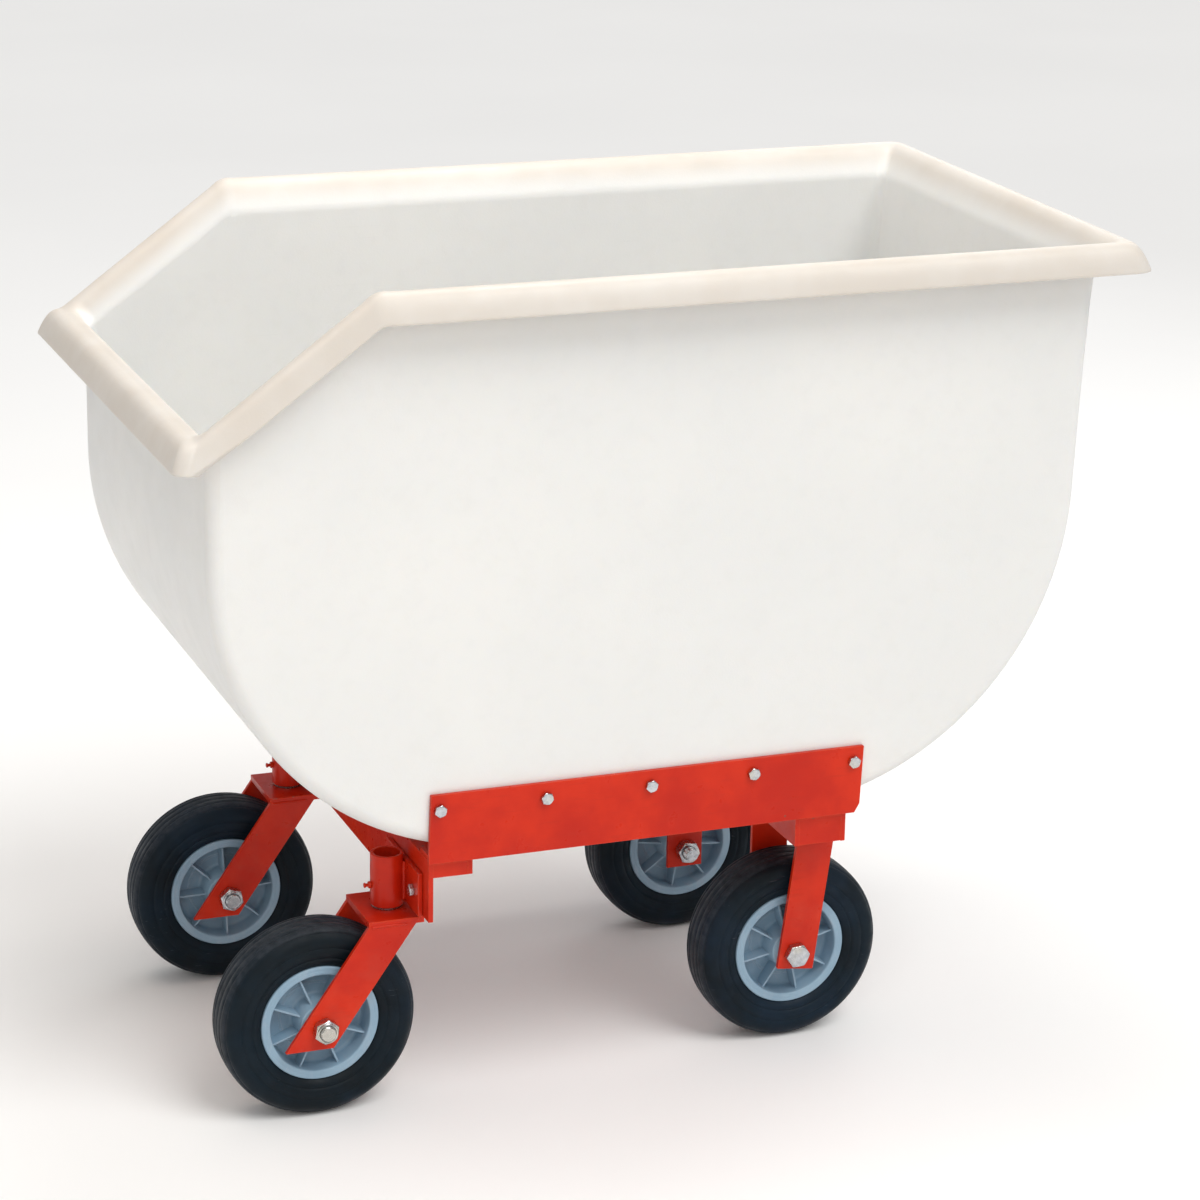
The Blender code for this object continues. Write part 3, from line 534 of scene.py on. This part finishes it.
# ---------------------------------------------------------------- tub
tub_lo, tub_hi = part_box("tub")
WALL = 0.007
RIM_REACH = 0.0520  # the wall's face out to the edge of the rim
HALF = tub_hi.y - RIM_REACH
FRONT_X = tub_lo.x + RIM_REACH
REAR_DRAFT = 0.0135
REAR_X = tub_hi.x - RIM_REACH - REAR_DRAFT
FLOOR_Z = tub_lo.z
FRONT_ARC, REAR_ARC = 0.381, 0.407
FRONT_ARC_X, REAR_ARC_X = FRONT_X + FRONT_ARC, REAR_X - REAR_ARC
EDGE = 0.020
RIM_Z = FLOOR_Z + 0.7208
LIP_Z = FLOOR_Z + 0.5608
KINK_X = FRONT_X + 0.1985
SLOPE = math.tan(math.radians(36.3))
RIM_DEPTH = 0.045
RIM_ROWS = ((0.004, -0.033), (0.011, -0.019), (0.018, -0.0095), (0.026, -0.0068), (0.033, -0.0105), (0.0400, -0.0230), (0.0455, -0.0370))
ARC_STEPS = 44
SQUARE = 0.9


def crest(x):
    level, slope = RIM_Z, RIM_Z + SLOPE * (x - KINK_X)
    blend = 0.014
    if abs(x - KINK_X) < blend:
        t = (x - KINK_X + blend) / (2 * blend)
        return slope * (1 - t) + level * t - SLOPE * blend * t * (1 - t) * 0.3
    return max(LIP_Z, min(level, slope))


def tub_outline(inset):
    points = []
    top = REAR_X + REAR_DRAFT - inset
    rear_z = RIM_Z - RIM_DEPTH
    arc_z = FLOOR_Z + REAR_ARC
    for i in range(9):
        t = i / 9
        points.append((top - REAR_DRAFT * (t ** 0.7), rear_z + (arc_z - rear_z) * t))
    for i in range(ARC_STEPS + 1):
        a = math.pi / 2 * i / ARC_STEPS
        points.append((REAR_ARC_X + (REAR_ARC - inset) * math.cos(a), arc_z - (REAR_ARC - inset) * math.sin(a)))
    arc_z = FLOOR_Z + FRONT_ARC
    for i in range(ARC_STEPS + 1):
        a = math.pi / 2 * i / ARC_STEPS
        points.append((FRONT_ARC_X - (FRONT_ARC - inset) * math.sin(a), arc_z - (FRONT_ARC - inset) * math.cos(a)))
    front = FRONT_X + inset
    kink = [KINK_X + 0.014 * k / 4 for k in range(-4, 5)]
    for x in [front] + [front + (kink[0] - front) * k / 5 for k in range(1, 5)] + kink + [kink[-1] + (top - kink[-1]) * k / 16 for k in range(1, 16)]:
        points.append((x, crest(x) - RIM_DEPTH))
    return points


def curve_through(points, steps):
    """Catmull-Rom points through the given ones."""
    out = []
    ends = [points[0]] + list(points) + [points[-1]]
    for i in range(1, len(ends) - 2):
        p0, p1, p2, p3 = [np.array(p) for p in ends[i - 1 : i + 3]]
        for k in range(steps):
            t = k / steps
            out.append(tuple(0.5 * (2 * p1 + (p2 - p0) * t + (2 * p0 - 5 * p1 + 4 * p2 - p3) * t * t + (3 * p1 - p0 - 3 * p2 + p3) * t ** 3)))
    out.append(tuple(points[-1]))
    return out


def rim_rows():
    """(reach, drop) of the rim's lower face and of its upper face, which is the wall's thickness further out."""
    lower = curve_through([(0.0, -RIM_DEPTH - 0.02), (0.0, -RIM_DEPTH)] + list(RIM_ROWS), 3)
    lower = [p for p in lower if p[1] > -RIM_DEPTH + 1e-6 or p[0] > 0.001]
    full = [(0.0, -RIM_DEPTH)] + lower
    upper = []
    for i in range(1, len(full)):
        a, b = full[i - 1], full[min(i + 1, len(full) - 1)]
        dx, dz = b[0] - a[0], b[1] - a[1]
        length = math.hypot(dx, dz)
        upper.append((full[i][0] - dz / length * WALL, full[i][1] + dx / length * WALL))
    return lower, upper


def tub_sheet(inset, rows):
    face_points = tub_outline(inset)
    y = HALF - inset
    bm = bmesh.new()
    first = bm.faces.new([bm.verts.new((x, -y, z)) for x, z in face_points])
    made = bmesh.ops.extrude_face_region(bm, geom=[first])["geom"]
    bmesh.ops.translate(bm, vec=(0, 2 * y, 0), verts=[v for v in made if isinstance(v, bmesh.types.BMVert)])
    bm.normal_update()
    rounded = []
    for edge in bm.edges:
        a, b = edge.verts
        above = all(abs(v.co.z - (crest(v.co.x) - RIM_DEPTH)) < 1e-5 for v in (a, b))
        if abs(a.co.y - b.co.y) < 1e-6 and not above:
            rounded.append(edge)
    bmesh.ops.bevel(bm, geom=rounded, offset=EDGE - inset, offset_type="OFFSET", segments=8, profile=0.5, affect="EDGES", clamp_overlap=False)
    bmesh.ops.recalc_face_normals(bm, faces=bm.faces)
    lid = [f for f in bm.faces if f.normal.z > 0.5 and f.calc_center_median().z > FLOOR_Z + 0.48]
    bmesh.ops.delete(bm, geom=lid, context="FACES")
    number = bm.verts.layers.int.new("number")
    base = {}
    edge_now = [e for e in bm.edges if e.is_boundary]
    x0, x1, y1 = FRONT_X + EDGE, REAR_X + REAR_DRAFT - EDGE, HALF - EDGE
    for index, vert in enumerate(v for v in bm.verts if v.is_boundary):
        vert[number] = index + 1
        near = Vector((min(max(vert.co.x, x0), x1), min(max(vert.co.y, -y1), y1), 0))
        out = Vector((vert.co.x, vert.co.y, 0)) - near
        at_corner = abs(near.x - vert.co.x) > 1e-6 and abs(near.y - vert.co.y) > 1e-6
        at_corner = at_corner or (min(abs(near.x - x0), abs(near.x - x1)) < 1e-4 and abs(abs(near.y) - y1) < 1e-4)
        out = out.normalized()
        if at_corner:
            out = out * (1 - SQUARE) + Vector((math.copysign(SQUARE, vert.co.x), math.copysign(SQUARE, vert.co.y), 0))
        base[index + 1] = (vert.co.copy(), out)
    for reach, drop in rows:
        made = bmesh.ops.extrude_edge_only(bm, edges=edge_now)["geom"]
        edge_now = [e for e in made if isinstance(e, bmesh.types.BMEdge) and e.is_boundary]
        for vert in {v for e in edge_now for v in e.verts}:
            start, out = base[vert[number]]
            place = start + out * (reach + inset)
            vert.co = Vector((place.x, place.y, crest(place.x) + drop))
    return bm


lower_rows, upper_rows = rim_rows()
bm = tub_sheet(0.0, lower_rows)
inner = tub_sheet(WALL, upper_rows)
data = bpy.data.meshes.new("inner_sheet")
inner.to_mesh(data)
inner.free()
bm.from_mesh(data)
bmesh.ops.bridge_loops(bm, edges=[e for e in bm.edges if e.is_boundary])


def flat_depth(x, z):
    """How far inside the flat of the side wall a point is."""
    gaps = [z - FLOOR_Z - EDGE, x - FRONT_X - EDGE, REAR_X - EDGE - x, crest(x) - RIM_DEPTH - 0.004 - z]
    if x < FRONT_ARC_X and z < FLOOR_Z + FRONT_ARC:
        gaps.append(FRONT_ARC - EDGE - math.hypot(x - FRONT_ARC_X, z - FLOOR_Z - FRONT_ARC))
    if x > REAR_ARC_X and z < FLOOR_Z + REAR_ARC:
        gaps.append(REAR_ARC - EDGE - math.hypot(x - REAR_ARC_X, z - FLOOR_Z - REAR_ARC))
    return min(gaps)


# cut the big flats into a grid, then let them belly in and out by under a millimetre, as a moulding does when it cools
for k in range(-11, 12):
    walls = [f for f in bm.faces if abs(abs(f.calc_center_median().y) - HALF) < WALL + 0.002 and abs(f.normal.y) > 0.99]
    geom = list({v for f in walls for v in f.verts} | {e for f in walls for e in f.edges}) + walls
    bmesh.ops.bisect_plane(bm, geom=geom, plane_co=(0.052 * k, 0, 0), plane_no=(1, 0, 0), dist=1e-6)
for k in range(1, 14):
    walls = [f for f in bm.faces if abs(abs(f.calc_center_median().y) - HALF) < WALL + 0.002 and abs(f.normal.y) > 0.99]
    geom = list({v for f in walls for v in f.verts} | {e for f in walls for e in f.edges}) + walls
    bmesh.ops.bisect_plane(bm, geom=geom, plane_co=(0, 0, FLOOR_Z + 0.052 * k), plane_no=(0, 0, 1), dist=1e-6)
bmesh.ops.remove_doubles(bm, verts=bm.verts, dist=1e-6)
for vert in bm.verts:
    side = abs(vert.co.y)
    if HALF - WALL - 0.001 < side < HALF + 0.0005:
        depth = flat_depth(vert.co.x, vert.co.z)
        if depth > 0:
            keep = smooth(depth / 0.09) * smooth((vert.co.z - FLOOR_Z - 0.100) / 0.08)
            spot = Vector((vert.co.x * 3.1, math.copysign(2.0, vert.co.y), vert.co.z * 3.1))
            vert.co.y -= math.copysign(0.0011 * keep * (0.5 + 0.5 * noise.noise(spot)), vert.co.y)
rim_layer = bm.verts.layers.float.new("rim")
for vert in bm.verts:
    reach = max(abs(vert.co.y) - HALF, FRONT_X - vert.co.x, vert.co.x - REAR_X - REAR_DRAFT)
    drop = vert.co.z - (crest(vert.co.x) - RIM_DEPTH)
    vert[rim_layer] = smooth((reach + 0.006) / 0.014) * smooth((drop + 0.006) / 0.012)
tub = piece("tub_moulding", bm, POLY, "root", ("tub",), bevel=0.0022, segments=3, angle=50, sharp=60)

# ---------------------------------------------------------------- wheels
TYRE_HALF_PROFILE = [
    (0.0767, 0.0000), (0.0767, 0.0282), (0.0771, 0.0292), (0.0780, 0.0300), (0.0806, 0.0318), (0.0832, 0.0331), (0.0856, 0.0338),
    (0.0868, 0.0338), (0.0875, 0.0331), (0.0886, 0.0331), (0.0893, 0.0341), (0.0930, 0.0346), (0.0975, 0.0350), (0.1010, 0.0350),
    (0.1017, 0.0343), (0.1027, 0.0343), (0.1034, 0.0350), (0.1080, 0.0350), (0.1116, 0.0344), (0.1148, 0.0333), (0.1176, 0.0317),
    (0.1197, 0.0298), (0.1211, 0.0281), (0.1214, 0.0272), (0.1211, 0.0266), (0.1219, 0.0260), (0.1232, 0.0252), (0.1246, 0.0232),
    (0.1256, 0.0205), (0.1261, 0.0182), (0.1252, 0.0175), (0.1251, 0.0163), (0.1262, 0.0155), (0.1267, 0.0120), (0.1269, 0.0075),
    (0.1260, 0.0068), (0.1260, 0.0056), (0.1270, 0.0048), (0.1270, 0.0000),
]
HUB_HALF_PROFILE = [
    (0.0163, 0.0000), (0.0163, 0.0376), (0.0168, 0.0388), (0.0177, 0.0394), (0.0206, 0.0394), (0.0213, 0.0389), (0.0216, 0.0374),
    (0.0221, 0.0366), (0.0247, 0.0363), (0.0260, 0.0356), (0.0267, 0.0342), (0.0281, 0.0220), (0.0293, 0.0110), (0.0302, 0.0072),
    (0.0318, 0.0052), (0.0345, 0.0044), (0.0440, 0.0043), (0.0446, 0.0049), (0.0466, 0.0049), (0.0472, 0.0043), (0.0580, 0.0042),
    (0.0605, 0.0048), (0.0622, 0.0063), (0.0632, 0.0090), (0.0643, 0.0272), (0.0646, 0.0292), (0.0652, 0.0304), (0.0662, 0.0310),
    (0.0700, 0.0310), (0.0705, 0.0307), (0.0712, 0.0307), (0.0717, 0.0310), (0.0745, 0.0310), (0.0756, 0.0306), (0.0762, 0.0297), (0.0763, 0.0285), (0.0763, 0.0000),
]


def both(profile):
    """A half profile from the middle out, with its mirror image."""
    return profile + [(r, -h) for r, h in reversed(profile) if h > 1e-6]


def hub_mesh():
    main = bpy.data.objects.new("hub_core", bpy.data.meshes.new("hub_core"))
    bm = lathe(both(HUB_HALF_PROFILE), 96)
    bmesh.ops.recalc_face_normals(bm, faces=bm.faces)
    bm.to_mesh(main.data)
    bm.free()
    ribs = bmesh.new()
    section = [(-0.0012, -0.0236), (0.0012, -0.0236), (0.0021, -0.004), (0.0021, 0.004), (0.0012, 0.0236), (-0.0012, 0.0236), (-0.0021, 0.004), (-0.0021, -0.004)]
    for i in range(8):
        one = bmesh.new()
        low = [one.verts.new((0.0262, t, h * 1.12)) for t, h in section]
        face = one.faces.new(low)
        made = bmesh.ops.extrude_face_region(one, geom=[face])["geom"]
        for vert in [v for v in made if isinstance(v, bmesh.types.BMVert)]:
            vert.co = Vector((0.0652, vert.co.y, vert.co.z / 1.12))
        bmesh.ops.recalc_face_normals(one, faces=one.faces)
        tops = [e for e in one.edges if abs(abs(e.verts[0].co.y) - 0.0012) < 1e-5 and abs(abs(e.verts[1].co.y) - 0.0012) < 1e-5 and abs(e.verts[0].co.x - e.verts[1].co.x) > 0.01]
        bmesh.ops.bevel(one, geom=tops, offset=0.0005, segments=2, profile=0.5, affect="EDGES")
        bmesh.ops.rotate(one, verts=one.verts, cent=(0, 0, 0), matrix=Matrix.Rotation(2 * math.pi * (i + 0.5) / 8, 3, "Z"))
        data = bpy.data.meshes.new("rib")
        one.to_mesh(data)
        one.free()
        ribs.from_mesh(data)
        bpy.data.meshes.remove(data)
    rib_object = bpy.data.objects.new("hub_ribs", bpy.data.meshes.new("hub_ribs"))
    ribs.to_mesh(rib_object.data)
    ribs.free()
    for obj in (main, rib_object):
        scene.collection.objects.link(obj)
    modifier = main.modifiers.new("ribs", "BOOLEAN")
    modifier.operation, modifier.solver, modifier.object = "UNION", "EXACT", rib_object
    bake(main)
    data = main.data
    bpy.data.objects.remove(rib_object)
    bpy.data.objects.remove(main)
    bm = bmesh.new()
    bm.from_mesh(data)
    bmesh.ops.remove_doubles(bm, verts=bm.verts, dist=2e-6)
    layer = bm.verts.layers.float.new("recess")
    for vert in bm.verts:
        r = math.hypot(vert.co.x, vert.co.y)
        inside = smooth((r - 0.0265) / 0.004) * smooth((0.0650 - r) / 0.004)
        vert[layer] = inside * smooth((0.026 - abs(vert.co.z)) / 0.020)
    bm.to_mesh(data)
    bm.free()
    return data


def tyre_mesh():
    bm = lathe(both(TYRE_HALF_PROFILE), 112)
    layer = bm.verts.layers.float.new("tread")
    for vert in bm.verts:
        r = math.hypot(vert.co.x, vert.co.y)
        vert[layer] = smooth((r - 0.1185) / 0.0060)
    bmesh.ops.recalc_face_normals(bm, faces=bm.faces)
    data = bpy.data.meshes.new("tyre")
    bm.to_mesh(data)
    bm.free()
    return data


HUB_DATA, TYRE_DATA = hub_mesh(), tyre_mesh()
AXLE_R = 0.0095
turns = {"front_left": 0.0, "front_right": 0.35, "rear_left": 0.16, "rear_right": 0.52}
for place, turn in turns.items():
    front = place.startswith("front")
    side_name = place.split("_")[1]
    side = -1 if side_name == "left" else 1
    centre = middle("tyre_" + place)
    wheel = place.replace("_", "_wheel_")
    fork_body = "front_swivel_" + side_name if front else "root"
    at = Matrix.Translation(centre) @ Z_TO_Y @ Matrix.Rotation(turn, 4, "Z")
    dress("tyre_" + place + "_moulding", TYRE_DATA.copy(), RUBBER, wheel, ("tyre_" + place,), sharp=75, weighted=False, place=at)
    dress("hub_" + place + "_moulding", HUB_DATA.copy(), HUB, wheel, ("wheel_hub_" + place,), sharp=42, place=at)
    lo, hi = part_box("wheel_bearing_" + place)
    reach = (hi.y - lo.y) / 2
    profile = both([(0.0099, 0.0), (0.0099, reach - 0.0004), (0.0103, reach), (0.0146, reach), (0.0150, reach - 0.0004), (0.0150, reach - 0.0030), (0.0160, reach - 0.0034), (0.0160, 0.0)])
    piece("bearing_" + place + "_sleeve", lathe(profile, 56), STEEL, wheel, ("wheel_bearing_" + place,), place=at, weighted=False)
    # bolt and nut: the nut is at the far end of the grip from the head
    lo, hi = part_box("axle_bolt_" + place)
    nut_lo, nut_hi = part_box("axle_nut_" + place)
    head_side = 1 if (nut_lo.y + nut_hi.y) / 2 < centre.y else -1
    away = Z_TO_NEG_Y if head_side > 0 else Z_TO_Y
    seat = (hi.y if head_side > 0 else lo.y) - head_side * 0.0120
    start = Matrix.Translation((centre.x, seat, centre.z)) @ away @ Matrix.Rotation(0.3 + turn, 4, "Z")
    length = abs((lo.y if head_side > 0 else hi.y) - seat)
    nut_seat = nut_hi.y if head_side > 0 else nut_lo.y
    grip = abs(nut_seat - seat)
    piece("axle_bolt_" + place + "_threaded", bolt(0.0143, 0.0118, AXLE_R, grip - 0.004, length - 0.0002, 0.0021, 60), ZINC, fork_body, ("axle_bolt_" + place,), place=start, sharp=30)
    at = Matrix.Translation((centre.x, nut_seat, centre.z)) @ away @ Matrix.Rotation(0.9 + turn, 4, "Z")
    piece("axle_nut_" + place + "_locking", nut(0.0143, 0.0160, AXLE_R + 0.0002, 0.0032 if front else 0.0, 60), ZINC, fork_body, ("axle_nut_" + place,), place=at, sharp=30)
    if front:
        insert = lathe([(AXLE_R + 0.0002, 0.0128), (0.0120, 0.0128), (0.0120, 0.0152), (AXLE_R + 0.0004, 0.0152)], 48)
        piece("axle_nut_" + place + "_insert", insert, NYLON, fork_body, place=at, weighted=False)

# ---------------------------------------------------------------- running gear: flat steel
for node in ("side_rail_left", "side_rail_right", "front_cross_member", "rear_cross_member", "rear_fork_left", "rear_fork_right"):
    steel_from(node, RED, "root", 0.0010)
for side_name, side in SIDES:
    steel_from("swivel_fork_" + side_name, RED, "front_swivel_" + side_name, 0.0009)

# caster brackets: plate, swivel tube and the welds between them
for side_name, side in SIDES:
    lo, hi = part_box("caster_bracket_" + side_name)
    pin_lo, pin_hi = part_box("kingpin_" + side_name)
    pin = (pin_lo + pin_hi) / 2
    x1, x0 = hi.x, hi.x - 0.006
    tube_top, tube_low = hi.z, lo.z
    bm = bmesh.new()
    plate_low, plate_top = tube_low + 0.0037, tube_low + 0.0607
    size = Matrix.Diagonal((x1 - x0, hi.y - lo.y, plate_top - plate_low, 1))
    bmesh.ops.create_cube(bm, size=1, matrix=Matrix.Translation(((x0 + x1) / 2, pin.y, (plate_low + plate_top) / 2)) @ size)
    piece("bracket_plate_" + side_name, bm, RED, "root", ("caster_bracket_" + side_name,), bevel=0.0009)
    outer, bore, mouth = 0.0210, 0.0129, 0.0168
    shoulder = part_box("retaining_ring_" + side_name)[0].z - 0.0003
    profile = [
        (bore, tube_low + 0.0006), (bore + 0.0006, tube_low), (outer - 0.0008, tube_low), (outer, tube_low + 0.0008),
        (outer, tube_top - 0.0010), (outer - 0.0004, tube_top - 0.0003), (outer - 0.0011, tube_top),
        (mouth + 0.0008, tube_top), (mouth + 0.0002, tube_top - 0.0003), (mouth, tube_top - 0.0009), (mouth, shoulder), (bore, shoulder),
    ]
    piece("swivel_tube_" + side_name, lathe(profile, 72), RED, "root", place=Matrix.Translation((pin.x, pin.y, 0)), sharp=50)
    for k, s in enumerate((-1, 1)):
        weld("tube_weld_%s_%d" % (side_name, k + 1), [(x0 - 0.0018, pin.y + s * 0.0132, plate_low + 0.002), (x0 - 0.0018, pin.y + s * 0.0132, plate_top - 0.002)], 0.0036, "root")
    # kingpin, ring and washer
    profile = [(0.0, pin_lo.z), (0.0130, pin_lo.z), (0.0162, pin_lo.z + 0.0010), (0.0176, pin_lo.z + 0.0028), (0.0180, pin_lo.z + 0.0066), (0.0125, pin_lo.z + 0.0067),
               (0.0125, pin_hi.z - 0.0056), (0.0119, pin_hi.z - 0.0051), (0.0119, pin_hi.z - 0.0034), (0.0125, pin_hi.z - 0.0028), (0.0125, pin_hi.z - 0.0012), (0.0113, pin_hi.z), (0.0, pin_hi.z)]
    bm = lathe([(max(r, 0.0004), z) for r, z in profile], 56, closed=False)
    piece("kingpin_%s_turned" % side_name, bm, STEEL, "front_swivel_" + side_name, ("kingpin_" + side_name,), place=Matrix.Translation((pin.x, pin.y, 0)), sharp=35)
    lo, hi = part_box("retaining_ring_" + side_name)
    profile = [(0.0129, lo.z), (0.0158, lo.z), (0.0160, lo.z + 0.0004), (0.0160, hi.z - 0.0004), (0.0158, hi.z), (0.0129, hi.z)]
    piece("retaining_ring_%s_sprung" % side_name, lathe(profile, 56), ZINC, "front_swivel_" + side_name, ("retaining_ring_" + side_name,), place=Matrix.Translation((pin.x, pin.y, 0)))
    lo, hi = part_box("thrust_washer_" + side_name)
    profile = [(0.0129, lo.z), (0.0196, lo.z), (0.0200, lo.z + 0.0004), (0.0200, hi.z - 0.0004), (0.0196, hi.z), (0.0129, hi.z)]
    piece("thrust_washer_%s_hardened" % side_name, lathe(profile, 56), STEEL, "front_swivel_" + side_name, ("thrust_washer_" + side_name,), place=Matrix.Translation((pin.x, pin.y, 0)))
    # grease fitting: hexagon, neck and ball, pointing forward
    lo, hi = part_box("grease_fitting_" + side_name)
    mid = (lo + hi) / 2
    rows = [ring([0.0026] * 36, 0.0), ring([0.0026] * 36, 0.0048)]
    rows += [ring(hexed(0.0040, 0.0041, 36), 0.0049), ring(hexed(0.0040, 0.0046, 36), 0.0053), ring(hexed(0.0040, 0.0046, 36), 0.0075), ring(hexed(0.0040, 0.0041, 36), 0.0079)]
    rows += [ring([r] * 36, z) for r, z in ((0.0023, 0.0081), (0.0022, 0.0106), (0.0024, 0.0112), (0.0031, 0.0120), (0.0033, 0.0127), (0.0031, 0.0134), (0.0024, 0.0139), (0.0012, 0.0141), (0.0006, 0.0136))]
    piece("grease_nipple_" + side_name, shell_of(rows), RED, "root", ("grease_fitting_" + side_name,), place=Matrix.Translation((hi.x, mid.y, mid.z)) @ Z_TO_NEG_X, sharp=45)

# welds on the forks and the frame
for side_name, side in SIDES:
    body = "front_swivel_" + side_name
    lo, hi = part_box("swivel_fork_" + side_name)
    pin_lo, pin_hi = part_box("kingpin_" + side_name)
    pin = (pin_lo + pin_hi) / 2
    under = hi.z - 0.0080
    for k, s in enumerate((-1, 1)):
        y = pin.y + s * 0.0492
        weld("crown_weld_%s_%d" % (side_name, k + 1), [(pin.x - 0.036, y, under + 0.0010), (pin.x + 0.012, y, under + 0.0010)], 0.0019, body, 0.0026)
    weld("pin_weld_" + side_name, [(pin.x + 0.0178 * math.cos(a), pin.y + 0.0178 * math.sin(a), under - 0.0004) for a in [2 * math.pi * q / 28 for q in range(29)]], 0.0022, body, 0.0028)
    lo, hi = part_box("rear_fork_" + side_name)
    cross_lo, cross_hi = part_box("rear_cross_member")
    for k, s in enumerate((-1, 1)):
        y = (lo.y + hi.y) / 2 + s * 0.0495
        weld("fork_weld_%s_%d" % (side_name, k + 1), [(0.2035, y, hi.z - 0.0050), (0.2560, y, hi.z - 0.0050)], 0.0019, "root", 0.0026)
    weld("plate_weld_%s_front" % side_name, [(cross_lo.x + 0.013, (lo.y + hi.y) / 2 - 0.044, hi.z + 0.0002), (cross_lo.x + 0.013, (lo.y + hi.y) / 2 + 0.044, hi.z + 0.0002)], 0.0026, "root")
    rail_lo, rail_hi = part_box("side_rail_" + side_name)
    for tag, node in (("front", "front_cross_member"), ("rear", "rear_cross_member")):
        cross_lo, cross_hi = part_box(node)
        y = side * (cross_hi.y + 0.0006)
        weld("rail_weld_%s_%s" % (tag, side_name), [(cross_lo.x + 0.004, y, rail_lo.z - 0.0002), (cross_hi.x - 0.004, y, rail_lo.z - 0.0002)], 0.0027, "root")

# ---------------------------------------------------------------- fasteners
for side_name, side in SIDES:
    away = Z_TO_NEG_Y if side > 0 else Z_TO_Y
    rail_lo, rail_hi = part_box("side_rail_" + side_name)
    face = rail_hi.y if side > 0 else rail_lo.y
    for i in range(5):
        node = "rail_bolt_%s_%d" % (side_name, i + 1)
        lo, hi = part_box(node)
        mid = (lo + hi) / 2
        length = hi.y - lo.y - 0.0064
        start = Matrix.Translation((mid.x, face, mid.z)) @ away @ Matrix.Rotation(0.2 + 0.55 * i, 4, "Z")
        body = bolt(0.00715, 0.0062, 0.0046, 0.0133, length - 0.0002, 0.0015, 48)
        washer = lathe([(0.0048, 0.0139), (0.0117, 0.0139), (0.0120, 0.0142), (0.0120, 0.0153), (0.0117, 0.0156), (0.0048, 0.0156)], 48)
        made = merge((body, Matrix.Identity(4)), (washer, Matrix.Identity(4)), (nut(0.00715, 0.0062, 0.0047), Matrix.Translation((0, 0, 0.0157)) @ Matrix.Rotation(0.4 * i, 4, "Z")))
        piece(node + "_set", made, ZINC, "root", (node,), place=start, sharp=30)
    plate_lo, plate_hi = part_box("caster_bracket_" + side_name)
    for i in range(2):
        node = "bracket_bolt_%s_%d" % (side_name, i + 1)
        lo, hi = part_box(node)
        mid = (lo + hi) / 2
        start = Matrix.Translation((plate_hi.x - 0.006, mid.y, mid.z)) @ Z_TO_X @ Matrix.Rotation(0.5 + i, 4, "Z")
        made = merge((bolt(0.00715, 0.0062, 0.0046, 0.0120, hi.x - plate_hi.x + 0.0058, 0.0015, 48), Matrix.Identity(4)), (nut(0.00715, 0.0074, 0.0047), Matrix.Translation((0, 0, 0.0127))))
        piece(node + "_set", made, ZINC, "root", (node,), place=start, sharp=30)
    node = "tub_bolt_" + side_name
    lo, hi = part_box(node)
    mid = (lo + hi) / 2
    flip = Matrix.Rotation(math.pi, 4, "X")
    start = Matrix.Translation((mid.x, mid.y, hi.z - 0.0075)) @ flip
    length = hi.z - lo.z - 0.0075
    made = merge((bolt(0.00715, 0.0073, 0.0046, length - 0.013, length - 0.0002, 0.0015, 48), Matrix.Identity(4)), (nut(0.00715, 0.0077, 0.0047), Matrix.Translation((0, 0, length - 0.0108))))
    piece(node + "_set", made, ZINC, "root", (node,), place=start, sharp=30)
    node = "tub_spacer_" + side_name
    lo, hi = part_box(node)
    mid = (lo + hi) / 2
    profile = [(0.0050, lo.z), (0.0081, lo.z), (0.0085, lo.z + 0.0004), (0.0085, hi.z - 0.0004), (0.0081, hi.z), (0.0050, hi.z)]
    piece(node + "_turned", lathe(profile, 48), ZINC, "root", (node,), place=Matrix.Translation((mid.x, mid.y, 0)))
